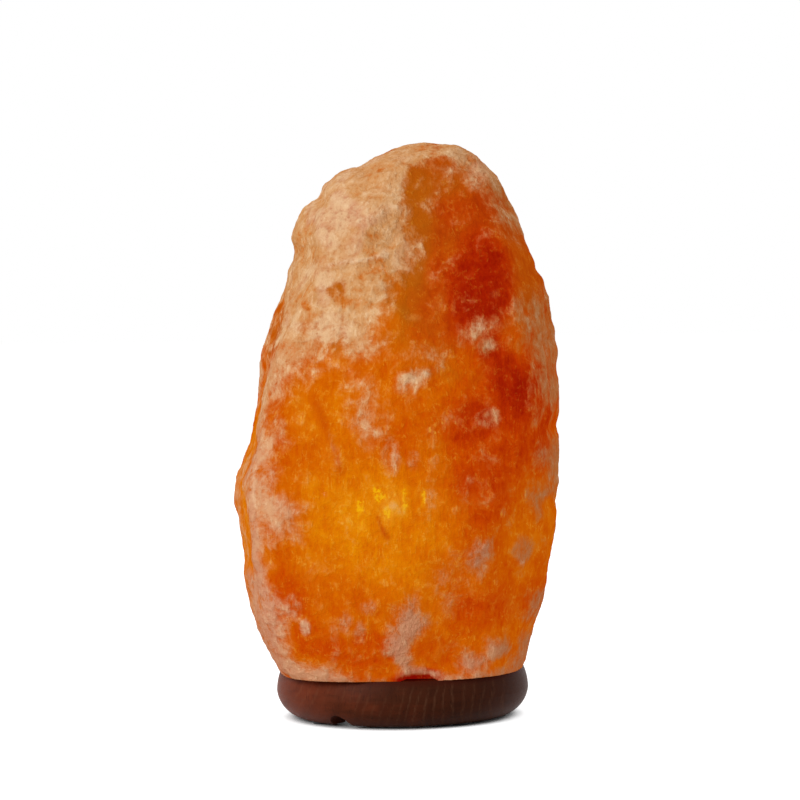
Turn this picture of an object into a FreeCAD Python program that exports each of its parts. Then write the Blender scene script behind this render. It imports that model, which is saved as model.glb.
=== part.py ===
"""Salt crystal table lamp: a hewn crystal on a turned wooden base, lit by a small bulb in a spring-clipped holder.

Frame: millimetres, +Z up, origin on the table at the axis of the wooden base. -Y is the front.
The crystal is screwed to its base. The holder sits up the bore from below, and its sprung wings grip the wall.
"""

import FreeCAD
import Part
import Sketcher
import functools
import math
import os
import re
from FreeCAD import Placement, Rotation, Vector

# ---------------------------------------------------------------- driving dimensions, millimetres and degrees
SIZES = {
    # felt pads under the base
    "pad_thickness": 1.0,
    "pad_radius": 3.6,
    "pad_circle_radius": 43.0,
    "pad_first_bearing": 35.0,
    # wooden base, a turned disc
    "base_thickness": 20.0,
    "base_radius": 55.0,
    "base_top_radius": 53.0,
    "base_foot_radius": 46.8,
    "base_belly_height": 11.0,
    "base_foot_curve": 13.0,
    "base_top_curve": 24.0,
    "recess_radius": 38.5,
    "recess_depth": 10.0,
    "holder_bore_radius": 25.0,
    "notch_radius": 4.8,
    "notch_bearing": 33.0,
    # screws that hold the crystal down
    "screw_circle_radius": 33.6,
    "screw_shank_radius": 2.0,
    "screw_head_radius": 3.6,
    "screw_head_height": 2.4,
    "screw_length": 27.0,
    "screw_slot_width": 0.8,
    "screw_slot_depth": 1.0,
    # crystal: full height and the furthest reach to each side of the axis
    "crystal_height": 228.0,
    "crystal_left": 73.0,
    "crystal_right": 70.2,
    "crystal_front": 63.0,
    "crystal_back": 63.0,
    "crystal_roughness": 0.7,
    "crystal_chip_depth": 1.6,
    "crystal_bore_depth": 98.0,
    "chip_width": 15.0,
    "chip_height": 2.2,
    "chip_depth": 9.0,
    "chip_offset": 7.2,
    # flange plate and the parts that clamp it
    "plate_radius": 29.0,
    "plate_thickness": 1.0,
    "plate_lip_depth": 2.6,
    "plate_bend_radius": 1.6,
    "nipple_radius": 5.0,
    "nipple_wall": 0.9,
    "washer_radius": 8.6,
    "washer_thickness": 0.8,
    "nut_across_flats": 14.0,
    "nut_thickness": 3.0,
    "bushing_flange_radius": 6.2,
    "bushing_flange_thickness": 1.3,
    "bushing_sleeve_length": 7.0,
    "bushing_bore_radius": 3.4,
    "bushing_chamfer": 0.4,
    # spring clip
    "clip_thickness": 0.5,
    "clip_width": 12.0,
    "clip_saddle_reach": 15.65,
    "clip_bend_radius": 1.5,
    "clip_arm_angle": 69.0,
    "clip_crest_height": 17.0,
    "clip_crest_radius": 2.0,
    "clip_tip_angle": 106.0,
    "clip_tip_length": 9.0,
    # bulb holder
    "dome_radius": 13.6,
    "dome_height": 22.5,
    "dome_foot_radius": 9.5,
    "dome_cone_height": 5.5,
    "dome_wall": 2.2,
    "dome_floor": 2.5,
    "dome_boss_radius": 7.6,
    "dome_boss_height": 6.6,
    "spigot_length": 6.0,
    "spigot_inset": 1.0,
    "ledge_width": 1.0,
    "insert_thickness": 9.0,
    "sleeve_length": 24.0,
    "sleeve_mouth_radius": 8.1,
    "sleeve_mouth_thickness": 2.4,
    "sleeve_taper": 1.2,
    "sleeve_rounding": 0.8,
    "shell_radius": 7.75,
    "shell_wall": 0.4,
    "shell_length": 19.0,
    "shell_flange_margin": 0.7,
    "contact_width": 3.2,
    "contact_thickness": 0.4,
    "contact_rise": 1.8,
    "side_contact_reach": 4.0,
    "terminal_size": 4.6,
    "terminal_offset": 6.4,
    "terminal_screw_radius": 1.3,
    "terminal_screw_length": 4.4,
    # bulb
    "tip_height": 1.1,
    "tip_radius": 2.4,
    "tip_rounding": 0.5,
    "insulator_height": 2.2,
    "cap_radius": 6.95,
    "cap_length": 16.5,
    "cap_wall": 0.3,
    "cap_plain_length": 3.0,
    "cap_thread_pitch": 2.82,
    "cap_thread_depth": 0.5,
    "bulb_radius": 13.0,
    "bulb_length": 57.0,
    "bulb_neck_radius": 5.9,
    "glass_wall": 0.7,
    "glass_seat": 4.0,
    "neck_length": 1.0,
    "stem_radius": 1.5,
    "stem_height": 15.0,
    "lead_radius": 0.35,
    "lead_spread": 7.0,
    "lead_height": 10.0,
    "filament_radius": 0.3,
    "filament_rise": 3.0,
    # clearances
    "fit_clearance": 0.06,
}
SCREW_COUNT = 3
PAD_COUNT = 4
SCREW_FIRST_BEARING = 90.0

document = FreeCAD.newDocument("SaltCrystalLamp")
sheet = document.addObject("Spreadsheet::Sheet", "Sizes")
for row, (alias, number) in enumerate(SIZES.items(), start=1):
    sheet.set(f"A{row}", alias)
    sheet.set(f"B{row}", str(number))
    sheet.setAlias(f"B{row}", alias)
document.recompute()

pieces = {}


def bound(text):
    """The expression with each size's name pointed at its cell."""
    return re.sub(r"\b[a-z]+(?:_[a-z]+)+\b", lambda found: "Sizes." + found.group(0), text)


@functools.lru_cache(maxsize=None)
def value(text):
    """The number that an expression on the sizes has now."""
    return float(sheet.evalExpression(bound(text)))


def piece(thing, label):
    """Registers a finished sub-part under the name of its file."""
    thing.Label = label
    pieces[label] = thing
    return thing


# ---------------------------------------------------------------- heights that several pieces share
WOOD_FOOT = "pad_thickness"
CEILING = "(pad_thickness + recess_depth)"
SEAT = "(pad_thickness + base_thickness)"
PLATE_UNDER = f"({CEILING} - plate_thickness)"
WASHER_UNDER = f"({PLATE_UNDER} - washer_thickness)"
NUT_UNDER = f"({WASHER_UNDER} - nut_thickness)"
SADDLE_TOP = f"({CEILING} + clip_thickness)"
DOME_FLOOR_TOP = f"({SADDLE_TOP} + dome_floor)"
DOME_BOSS_TOP = f"({SADDLE_TOP} + dome_boss_height)"
DOME_TOP = f"({SADDLE_TOP} + dome_height)"
SPIGOT_FOOT = f"({DOME_TOP} - spigot_length)"
INSERT_UNDER = f"({DOME_TOP} - insert_thickness)"
SLEEVE_TOP = f"({DOME_TOP} + sleeve_length)"
TIP_UNDER = f"({DOME_TOP} + contact_thickness + contact_rise + fit_clearance)"
TIP_TOP = f"({TIP_UNDER} + tip_height)"
SHELL_FLANGE = "(dome_radius - spigot_inset - shell_flange_margin)"
CAP_FOOT = f"({TIP_TOP} + insulator_height)"
CAP_TOP = f"({CAP_FOOT} + cap_length)"
BULB_TOP = f"({TIP_UNDER} + bulb_length)"
BULB_CENTRE = f"({BULB_TOP} - bulb_radius)"
STEM_FOOT = f"({CAP_TOP} + glass_wall)"
STEM_TOP = f"({CAP_TOP} + stem_height)"


# ---------------------------------------------------------------- ways of making a piece
def origin_plane(body, role):
    """One of the body's own origin planes."""
    return next(feature for feature in body.Origin.OriginFeatures if feature.Role == role)


def arc_edge(start, end, radius, turn):
    """The minor arc from start to end; turn is ccw or cw."""
    middle = (start + end) * 0.5
    chord = end - start
    sagitta_side = Vector(-chord.y, chord.x, 0).normalize()
    drop = math.sqrt(max(radius**2 - (chord.Length / 2) ** 2, 0.0))
    centre = middle + sagitta_side * (drop if turn == "ccw" else -drop)
    outward = (middle - centre).normalize() if drop > 1e-6 else sagitta_side * (-1 if turn == "ccw" else 1)
    through = centre + outward * radius
    return Part.Arc(start, through, end) if turn == "ccw" else Part.Arc(end, through, start)


def outline_sketch(body, name, outline, plane="XZ_Plane"):
    """A closed sketch through the outline's points.

    Each point is (across, up), or (across, up, radius, turn) where an arc arrives at it.
    """
    sketch = body.newObject("Sketcher::SketchObject", name)
    sketch.AttachmentSupport = [(origin_plane(body, plane), "")]
    sketch.MapMode = "FlatFace"
    corners = [Vector(value(point[0]), value(point[1]), 0) for point in outline]
    count = len(outline)
    ends = []
    for index, point in enumerate(outline):
        start, end = corners[index - 1], corners[index]
        if len(point) == 4:
            sketch.addGeometry(arc_edge(start, end, value(point[2]), point[3]), False)
            ends.append((1, 2) if point[3] == "ccw" else (2, 1))
        else:
            sketch.addGeometry(Part.LineSegment(start, end), False)
            ends.append((1, 2))
    for index in range(count):
        after = (index + 1) % count
        sketch.addConstraint(Sketcher.Constraint("Coincident", index, ends[index][1], after, ends[after][0]))
    for index, point in enumerate(outline):
        for kind, text, number in (("X", point[0], corners[index].x), ("Y", point[1], corners[index].y)):
            constraint = Sketcher.Constraint("Distance" + kind, -1, 1, index, ends[index][1], number)
            sketch.renameConstraint(sketch.addConstraint(constraint), f"{kind.lower()}{index}")
            sketch.setExpression(f"Constraints.{kind.lower()}{index}", bound(text))
        if len(point) == 4:
            constraint = Sketcher.Constraint("Radius", index, value(point[2]))
            sketch.renameConstraint(sketch.addConstraint(constraint), f"radius{index}")
            sketch.setExpression(f"Constraints.radius{index}", bound(point[2]))
    return sketch


def turned(name, outline):
    """A body turned about the lamp's axis from its half outline."""
    body = document.addObject("PartDesign::Body", name)
    sketch = outline_sketch(body, name + "Outline", outline)
    turning = body.newObject("PartDesign::Revolution", name + "Turning")
    turning.Profile = sketch
    turning.ReferenceAxis = (sketch, ["V_Axis"])
    turning.Angle = 360
    return body


def solid(kind, name, sizes, place=None):
    """A Part primitive whose sizes, and place if given, are bound to the sheet."""
    made = document.addObject("Part::" + kind, name)
    for prop, text in sizes.items():
        made.setExpression(prop, bound(text))
    for axis, text in (place or {}).items():
        made.setExpression(f"Placement.Base.{axis}", bound(text))
    return made


def cut(name, base, tools):
    """Base with every tool taken away."""
    taken = tools[0]
    if len(tools) > 1:
        taken = document.addObject("Part::MultiFuse", name + "Tools")
        taken.Shapes = tools
    made = document.addObject("Part::Cut", name)
    made.Base = base
    made.Tool = taken
    return made


def group(name, members):
    """Separate solids kept as one piece."""
    made = document.addObject("Part::Compound", name)
    made.Links = members
    return made


def on_circle(thing, radius, bearing, height):
    """Binds a solid's place to a circle about the axis; the bearing runs from +X towards +Y."""
    thing.setExpression("Placement.Base.x", bound(f"{radius} * cos({bearing})"))
    thing.setExpression("Placement.Base.y", bound(f"{radius} * sin({bearing})"))
    thing.setExpression("Placement.Base.z", bound(height))
    return thing


def shaped(name, shape):
    """A piece whose shape is worked out here from the sizes."""
    made = document.addObject("Part::Feature", name)
    made.Shape = shape
    return made


# ---------------------------------------------------------------- screws and pads
def bearings(count, first):
    """Evenly spaced bearings, as expressions in degrees."""
    return [f"({first} + {360 / count * index})" for index in range(count)]


def screw_places():
    """The bearing of each screw."""
    return bearings(SCREW_COUNT, SCREW_FIRST_BEARING)


def base_screw(index, bearing):
    """A countersunk wood screw, head down, flush with the recess ceiling."""
    shank = solid("Cylinder", f"Shank{index}", {
        "Radius": "screw_shank_radius",
        "Height": "screw_length - screw_head_height",
    })
    on_circle(shank, "screw_circle_radius", bearing, f"{CEILING} + screw_head_height")
    head = solid("Cone", f"Head{index}", {
        "Radius1": "screw_head_radius",
        "Radius2": "screw_shank_radius",
        "Height": "screw_head_height",
    })
    on_circle(head, "screw_circle_radius", bearing, CEILING)
    whole = document.addObject("Part::Fuse", f"ScrewBlank{index}")
    whole.Base = shank
    whole.Tool = head
    slot = solid("Box", f"ScrewSlot{index}", {
        "Length": "2.2 * screw_head_radius",
        "Width": "screw_slot_width",
        "Height": "screw_slot_depth",
    })
    slot.setExpression("Placement.Base.x", bound(
        f"screw_circle_radius * cos({bearing}) - 1.1 * screw_head_radius"))
    slot.setExpression("Placement.Base.y", bound(f"screw_circle_radius * sin({bearing}) - screw_slot_width / 2"))
    slot.setExpression("Placement.Base.z", bound(CEILING))
    return cut(f"Screw{index}", whole, [slot])


def screw_hole(index, bearing):
    """The hole for one screw, through wood and crystal alike, with its countersink."""
    shank = solid("Cylinder", f"ScrewHole{index}", {
        "Radius": "screw_shank_radius + fit_clearance",
        "Height": "screw_length + fit_clearance",
    })
    on_circle(shank, "screw_circle_radius", bearing, CEILING)
    sink = solid("Cone", f"Countersink{index}", {
        "Radius1": "screw_head_radius + fit_clearance",
        "Radius2": "screw_shank_radius + fit_clearance",
        "Height": "screw_head_height",
    })
    on_circle(sink, "screw_circle_radius", bearing, CEILING)
    return [shank, sink]


base_screws = [base_screw(index, bearing) for index, bearing in enumerate(screw_places())]
piece(group("BaseScrews", base_screws), "base_screws")
screw_holes = [hole for index, bearing in enumerate(screw_places()) for hole in screw_hole(index, bearing)]

felt_pads = [
    on_circle(solid("Cylinder", f"Pad{index}", {"Radius": "pad_radius", "Height": "pad_thickness"}),
              "pad_circle_radius", bearing, "0 * pad_thickness")
    for index, bearing in enumerate(bearings(PAD_COUNT, "pad_first_bearing"))
]
piece(group("FeltPads", felt_pads), "felt_pads")


# ---------------------------------------------------------------- wooden base
def wooden_base():
    """A turned disc: recess below for the plate and cord, through bore, and a cord notch in its rim."""
    turning = turned("BaseTurning", [
        ("holder_bore_radius", CEILING),
        ("recess_radius", CEILING),
        ("recess_radius", WOOD_FOOT),
        ("base_foot_radius", WOOD_FOOT),
        ("base_radius", f"{WOOD_FOOT} + base_belly_height", "base_foot_curve", "ccw"),
        ("base_top_radius", SEAT, "base_top_curve", "ccw"),
        ("holder_bore_radius", SEAT),
    ])
    notch = solid("Cylinder", "CordNotch", {"Radius": "notch_radius", "Height": "1.2 * base_radius"})
    outward = Rotation(Vector(0, 0, 1), -90 - value("notch_bearing"))
    notch.Placement = Placement(Vector(0, 0, 0), outward.multiply(Rotation(Vector(0, 1, 0), 90)))
    notch.setExpression("Placement.Base.z", bound(WOOD_FOOT))
    return cut("WoodenBase", turning, [notch, *screw_holes])


piece(wooden_base(), "wooden_base")


# ---------------------------------------------------------------- crystal
# Outlines of the hewn block: (height, reach), each as a share of the crystal's full height and of its own furthest
# reach on that side. The foot row is left out, because the block meets the base at the base's own top radius.
LEFT_EDGE = [
    (0.021, 0.750), (0.047, 0.798), (0.099, 0.864), (0.134, 0.898), (0.169, 0.930), (0.247, 0.952), (0.290, 0.960),
    (0.325, 0.982), (0.351, 1.000), (0.369, 0.989), (0.395, 0.952), (0.430, 0.911), (0.473, 0.881), (0.525, 0.839),
    (0.612, 0.821), (0.656, 0.768), (0.700, 0.720), (0.743, 0.662), (0.787, 0.614), (0.856, 0.584), (0.891, 0.518),
    (0.921, 0.428), (0.948, 0.303), (0.969, 0.150), (0.987, 0.015), (1.0, -0.14),
]
RIGHT_EDGE = [
    (0.021, 0.769), (0.047, 0.788), (0.099, 0.862), (0.134, 0.901), (0.204, 0.931), (0.290, 0.976), (0.351, 0.994),
    (0.395, 1.000), (0.525, 0.994), (0.578, 0.976), (0.612, 0.994), (0.656, 0.976), (0.700, 0.931), (0.743, 0.907),
    (0.787, 0.838), (0.821, 0.794), (0.891, 0.713), (0.921, 0.674), (0.948, 0.612), (0.987, 0.430), (1.0, 0.27),
]
FRONT_EDGE = [
    (0.060, 0.905), (0.173, 0.975), (0.260, 1.000), (0.434, 0.975), (0.565, 0.925), (0.696, 0.850), (0.805, 0.750),
    (0.892, 0.620), (0.950, 0.470), (0.985, 0.290), (1.0, 0.10),
]
BACK_EDGE = [
    (0.060, 0.905), (0.130, 0.965), (0.220, 0.960), (0.330, 1.000), (0.470, 0.990), (0.600, 0.905), (0.720, 0.860),
    (0.800, 0.770), (0.880, 0.700), (0.940, 0.550), (0.980, 0.340), (1.0, 0.12),
]
# How square each corner of a section is: 2 is an ellipse, more is squarer. Low, then high on the block.
CORNERS = {
    "back_right": (2.2, 2.9), "back_left": (3.0, 2.2), "front_left": (3.3, 2.6), "front_right": (2.3, 2.8),
}
SECTION_SIDES = 46
SECTION_LEVELS = 36
# 1 bunches the sections towards the top, more draws them apart there.
LEVEL_BUNCHING = 1.2
SLANT = 0.22
# Chips struck off the skin: the bearing of the blow (from +X towards +Y), its place as a share of the height, the
# plane's tilt above level, and how deep it goes below the skin in millimetres.
CHIPS = [
    # left face, behind the ridge that runs down the front-left corner
    (196, 0.20, -6, 1.6), (188, 0.50, 16, 1.4), (204, 0.73, 20, 2.2), (170, 0.36, 9, 2.6), (160, 0.66, 22, 2.6),
    # front
    (286, 0.14, -14, 2.6), (262, 0.32, 2, 2.2), (290, 0.43, 7, 2.8), (250, 0.55, 13, 3.0), (278, 0.68, 22, 3.0),
    (240, 0.82, 30, 2.4), (300, 0.80, 32, 2.6),
    # right face
    (318, 0.24, -8, 2.6), (332, 0.55, 8, 2.4), (345, 0.36, 2, 1.2), (340, 0.78, 27, 2.2), (318, 0.66, 16, 2.8),
    # back
    (75, 0.16, -10, 2.8), (100, 0.38, 4, 3.4), (60, 0.52, 12, 3.6), (122, 0.62, 18, 3.2), (84, 0.78, 28, 3.0),
    (38, 0.30, -2, 3.2), (32, 0.70, 22, 3.0), (134, 0.24, -4, 3.2),
]


def along(edge, share, foot):
    """The edge's reach at a share of the height, on straight runs from the foot through its points."""
    points = [(0.0, foot), *edge]
    for (low, near), (high, far) in zip(points, points[1:]):
        if share <= high:
            return near + (far - near) * (share - low) / (high - low)
    return points[-1][1]


def unevenness(bearing, share):
    """A steady, uneven ripple between about -1 and 1 that stands for the hewn skin."""
    turns, rise = math.radians(bearing), 26 * share
    coarse = math.sin(3 * turns + 0.8 * rise) * math.cos(2 * turns - 0.5 * rise)
    fine = math.sin(8 * turns + 1.9 * rise + 1.7) * math.cos(5 * turns - 1.6 * rise)
    return 0.6 * coarse + 0.5 * fine


def section_point(bearing, share):
    """A point of the unit section at a bearing, squared off by its quadrant's corner."""
    names = ("back_right", "back_left", "front_left", "front_right")
    low, high = CORNERS[names[int(bearing // 90) % 4]]
    power = 2 / (low + (high - low) * share)
    across, deep = math.cos(math.radians(bearing)), math.sin(math.radians(bearing))
    return (math.copysign(abs(across) ** power, across), math.copysign(abs(deep) ** power, deep))


def fitted(numbers, low, high):
    """The numbers stretched so that they run exactly from low to high."""
    least, most = min(numbers), max(numbers)
    return [low + (number - least) * (high - low) / (most - least) for number in numbers]


def reaches(share):
    """How far the block reaches left, right, forward and back at a share of its height."""
    foot = value("base_top_radius")
    return [
        value(size) * along(edge, share, foot / value(size))
        for size, edge in (("crystal_left", LEFT_EDGE), ("crystal_right", RIGHT_EDGE),
                           ("crystal_front", FRONT_EDGE), ("crystal_back", BACK_EDGE))
    ]


def spine(share):
    """The middle of the block's section at a share of its height."""
    left, right, front, back = reaches(share)
    return Vector((right - left) / 2, (back - front) / 2, value(SEAT) + value("crystal_height") * share)


def skin(bearing, share):
    """A point of the unchipped skin; its swells slant round the corners and stay level where it is seen end on."""
    slant = SLANT * math.sin(math.radians(2 * bearing)) * share * (1 - share)
    left, right, front, back = reaches(share + slant)
    x, y = section_point(bearing, share)
    return spine(share) + Vector(x * (left + right) / 2, y * (front + back) / 2, 0)


def struck_planes():
    """Each chip as its plane's unit normal and the plane's distance from the origin along it."""
    planes = []
    for bearing, share, tilt, depth in CHIPS:
        level, lift = math.radians(bearing), math.radians(tilt)
        normal = Vector(math.cos(level) * math.cos(lift), math.sin(level) * math.cos(lift), math.sin(lift))
        planes.append((normal, normal.dot(skin(bearing, share)) - depth * value("crystal_chip_depth")))
    return planes


def chipped(point, middle, planes):
    """The point drawn towards its section's middle until it lies behind every plane."""
    outward = point - middle
    kept = 1.0
    for normal, distance in planes:
        across = normal.dot(outward)
        if across > 0:
            kept = min(kept, max((distance - normal.dot(middle)) / across, 0.5))
    return middle + outward * kept


def crystal_section(level, planes):
    """The vertices of one section, all at one height."""
    share = math.sin(level / (SECTION_LEVELS - 1) * math.pi / 2) ** LEVEL_BUNCHING
    roughness = value("crystal_roughness") * min(1.0, 5 * share, 6 * (1 - share))
    start = 0.5 * (level % 2) * 360 / SECTION_SIDES
    ring = []
    for side in range(SECTION_SIDES):
        bearing = start + side * 360 / SECTION_SIDES
        outward = Vector(math.cos(math.radians(bearing)), math.sin(math.radians(bearing)), 0)
        point = skin(bearing, share)
        if 0 < level:
            point = chipped(point, spine(share), planes) + outward * roughness * unevenness(bearing, share)
        ring.append(point)
    left, right, front, back = reaches(share)
    across = fitted([point.x for point in ring], -left, right)
    return [Vector(x, point.y, point.z) for x, point in zip(across, ring)]


def triangle(first, second, third):
    """A flat face on three points."""
    return Part.Face(Part.makePolygon([first, second, third, first]))


def crystal_block():
    """The hewn block as a closed shell of flat chips between its sections."""
    planes = struck_planes()
    sections = [crystal_section(level, planes) for level in range(SECTION_LEVELS)]
    faces = [Part.Face(Part.makePolygon([*ring, ring[0]])) for ring in (sections[0], sections[-1])]
    for level, (lower, upper) in enumerate(zip(sections, sections[1:])):
        for side in range(SECTION_SIDES):
            after = (side + 1) % SECTION_SIDES
            if level % 2:
                faces.append(triangle(lower[side], upper[after], upper[side]))
                faces.append(triangle(lower[side], lower[after], upper[after]))
            else:
                faces.append(triangle(lower[side], lower[after], upper[side]))
                faces.append(triangle(lower[after], upper[after], upper[side]))
    block = Part.Solid(Part.makeShell(faces))
    if block.Volume < 0:
        block.reverse()
    return block


def salt_crystal():
    """The block with its drilled bore, screw holes and the chip at the front of its foot."""
    bore = solid("Cylinder", "CrystalBore", {
        "Radius": "holder_bore_radius",
        "Height": "crystal_bore_depth",
    }, {"z": SEAT})
    chip = document.addObject("Part::Cylinder", "FootChip")
    width, height = "chip_width / 2", "chip_height"
    curve = f"(({width}) * ({width}) + {height} * {height}) / (2 * {height})"
    chip.setExpression("Radius", bound(curve))
    chip.setExpression("Height", bound("2 * chip_depth"))
    chip.Placement = Placement(Vector(0, 0, 0), Rotation(Vector(1, 0, 0), 90))
    chip.setExpression("Placement.Base.x", bound("chip_offset"))
    chip.setExpression("Placement.Base.y", bound("chip_depth - base_top_radius"))
    chip.setExpression("Placement.Base.z", bound(f"{SEAT} + chip_height - {curve}"))
    block = shaped("CrystalBlock", crystal_block())
    return cut("SaltCrystal", block, [bore, chip, *screw_holes[::2]])


piece(salt_crystal(), "salt_crystal")


# ---------------------------------------------------------------- flange plate and what clamps it
piece(turned("FlangePlate", [
    ("nipple_radius + fit_clearance", PLATE_UNDER),
    ("plate_radius - plate_bend_radius", PLATE_UNDER),
    ("plate_radius - plate_thickness", f"{CEILING} - plate_bend_radius"),
    ("plate_radius - plate_thickness", f"{CEILING} - plate_lip_depth"),
    ("plate_radius", f"{CEILING} - plate_lip_depth"),
    ("plate_radius", f"{CEILING} - plate_bend_radius"),
    ("plate_radius - plate_bend_radius", CEILING),
    ("nipple_radius + fit_clearance", CEILING),
]), "flange_plate")

piece(turned("LockWasher", [
    ("nipple_radius + fit_clearance", WASHER_UNDER),
    ("washer_radius", WASHER_UNDER),
    ("washer_radius", PLATE_UNDER),
    ("nipple_radius + fit_clearance", PLATE_UNDER),
]), "lock_washer")

piece(turned("HolderNipple", [
    ("nipple_radius - nipple_wall", NUT_UNDER),
    ("nipple_radius", NUT_UNDER),
    ("nipple_radius", DOME_BOSS_TOP),
    ("nipple_radius - nipple_wall", DOME_BOSS_TOP),
]), "holder_nipple")

piece(turned("CordBushing", [
    ("bushing_bore_radius", f"{NUT_UNDER} - bushing_flange_thickness"),
    ("bushing_flange_radius - bushing_chamfer", f"{NUT_UNDER} - bushing_flange_thickness"),
    ("bushing_flange_radius", f"{NUT_UNDER} - bushing_flange_thickness + bushing_chamfer"),
    ("bushing_flange_radius", NUT_UNDER),
    ("nipple_radius - nipple_wall - fit_clearance", NUT_UNDER),
    ("nipple_radius - nipple_wall - fit_clearance", f"{NUT_UNDER} + bushing_sleeve_length"),
    ("bushing_bore_radius", f"{NUT_UNDER} + bushing_sleeve_length"),
]), "cord_bushing")


def nipple_nut():
    """A hexagon nut with chamfered corners."""
    prism = solid("Prism", "NutBlank", {
        "Circumradius": "nut_across_flats / 2 / cos(30)",
        "Height": "nut_thickness",
    }, {"z": NUT_UNDER})
    prism.Polygon = 6
    trim = document.addObject("Part::Common", "NutTrimmed")
    trim.Base = prism
    trim.Tool = solid("Cone", "NutChamfer", {
        "Radius1": "nut_across_flats / 2",
        "Radius2": "nut_across_flats / 2 + 2 * nut_thickness",
        "Height": "nut_thickness",
    }, {"z": NUT_UNDER})
    hole = solid("Cylinder", "NutHole", {
        "Radius": "nipple_radius + fit_clearance",
        "Height": "nut_thickness",
    }, {"z": NUT_UNDER})
    return cut("NippleNut", trim, [hole])


piece(nipple_nut(), "nipple_nut")


# ---------------------------------------------------------------- spring clip
def clip_saddle():
    """The flat middle of the clip, clamped between plate and holder."""
    blank = solid("Box", "SaddleBlank", {
        "Length": "2 * clip_saddle_reach",
        "Width": "clip_width",
        "Height": "clip_thickness",
    }, {"x": "-clip_saddle_reach", "y": "-clip_width / 2", "z": CEILING})
    hole = solid("Cylinder", "SaddleHole", {
        "Radius": "nipple_radius + fit_clearance",
        "Height": "clip_thickness",
    }, {"z": CEILING})
    return cut("ClipSaddle", blank, [hole])


def ray(angle):
    """A unit vector in the XZ plane, at an angle above +X."""
    return Vector(math.cos(math.radians(angle)), 0, math.sin(math.radians(angle)))


def wing_path():
    """The right wing's middle line: bend at the saddle, arm out to the wall, crest, and tip turned in."""
    half = value("clip_thickness") / 2
    radius = value("clip_bend_radius") + half
    rise, lean = value("clip_arm_angle"), value("clip_tip_angle")
    centre = Vector(value("clip_saddle_reach"), 0, value(CEILING) + half + radius)
    bend_end = centre + ray(rise - 90) * radius
    arm = value("clip_crest_height") / math.sin(math.radians(rise))
    crest_start = bend_end + ray(rise) * arm
    crest_radius = value("clip_crest_radius")
    crest_centre = crest_start + ray(rise + 90) * crest_radius
    crest_end = crest_centre + ray(lean - 90) * crest_radius
    tip = crest_end + ray(lean) * value("clip_tip_length")
    return Part.Wire([
        Part.Arc(centre + ray(-90) * radius, centre + ray(rise / 2 - 90) * radius, bend_end).toShape(),
        Part.LineSegment(bend_end, crest_start).toShape(),
        Part.Arc(crest_start, crest_centre + ray((rise + lean) / 2 - 90) * crest_radius, crest_end).toShape(),
        Part.LineSegment(crest_end, tip).toShape(),
    ])


def clip_wing(name, turn):
    """One sprung wing of the clip, a strip swept along its path."""
    path = wing_path()
    start = path.Vertexes[0].Point
    deep, thick = value("clip_width") / 2, value("clip_thickness") / 2
    corners = [start + Vector(0, y, z) for y, z in ((-deep, -thick), (deep, -thick), (deep, thick), (-deep, thick))]
    section = Part.Wire(Part.makePolygon([*corners, corners[0]]))
    wing = shaped(name, path.makePipeShell([section], True, False))
    wing.Placement = Placement(Vector(0, 0, 0), Rotation(Vector(0, 0, 1), turn))
    return wing


piece(clip_saddle(), "clip_saddle")
piece(clip_wing("ClipWingRight", 0), "clip_wing_right")
piece(clip_wing("ClipWingLeft", 180), "clip_wing_left")

# ---------------------------------------------------------------- bulb holder
DOME_INNER = "(dome_radius - spigot_inset - ledge_width)"
piece(turned("HolderDome", [
    ("nipple_radius + fit_clearance", SADDLE_TOP),
    ("dome_foot_radius", SADDLE_TOP),
    ("dome_radius", f"{SADDLE_TOP} + dome_cone_height"),
    ("dome_radius", SPIGOT_FOOT),
    ("dome_radius - spigot_inset", SPIGOT_FOOT),
    ("dome_radius - spigot_inset", DOME_TOP),
    (DOME_INNER, DOME_TOP),
    (DOME_INNER, INSERT_UNDER),
    (f"{DOME_INNER} - ledge_width", INSERT_UNDER),
    (f"{DOME_INNER} - ledge_width", f"{DOME_FLOOR_TOP} + dome_cone_height / 2"),
    ("dome_boss_radius", DOME_FLOOR_TOP),
    ("dome_boss_radius", DOME_BOSS_TOP),
    ("nipple_radius + fit_clearance", DOME_BOSS_TOP),
]), "holder_dome")

piece(turned("OuterSleeve", [
    ("dome_radius - spigot_inset + fit_clearance", SPIGOT_FOOT),
    ("dome_radius", SPIGOT_FOOT),
    ("dome_radius", DOME_TOP),
    ("dome_radius - sleeve_taper", f"{SLEEVE_TOP} - sleeve_rounding"),
    ("dome_radius - sleeve_taper - sleeve_rounding", SLEEVE_TOP),
    ("sleeve_mouth_radius", SLEEVE_TOP),
    ("sleeve_mouth_radius", f"{SLEEVE_TOP} - sleeve_mouth_thickness"),
    (f"{SHELL_FLANGE} - ledge_width", f"{SLEEVE_TOP} - sleeve_mouth_thickness"),
    (f"{SHELL_FLANGE} - ledge_width", f"{DOME_TOP} + shell_wall"),
    (f"{SHELL_FLANGE} + fit_clearance", f"{DOME_TOP} + shell_wall"),
    (f"{SHELL_FLANGE} + fit_clearance", DOME_TOP),
    ("dome_radius - spigot_inset + fit_clearance", DOME_TOP),
]), "outer_sleeve")

piece(turned("ScrewShell", [
    ("shell_radius - shell_wall", DOME_TOP),
    (SHELL_FLANGE, DOME_TOP),
    (SHELL_FLANGE, f"{DOME_TOP} + shell_wall"),
    ("shell_radius", f"{DOME_TOP} + shell_wall"),
    ("shell_radius", f"{DOME_TOP} + shell_length"),
    ("shell_radius - shell_wall", f"{DOME_TOP} + shell_length"),
]), "screw_shell")


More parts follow.
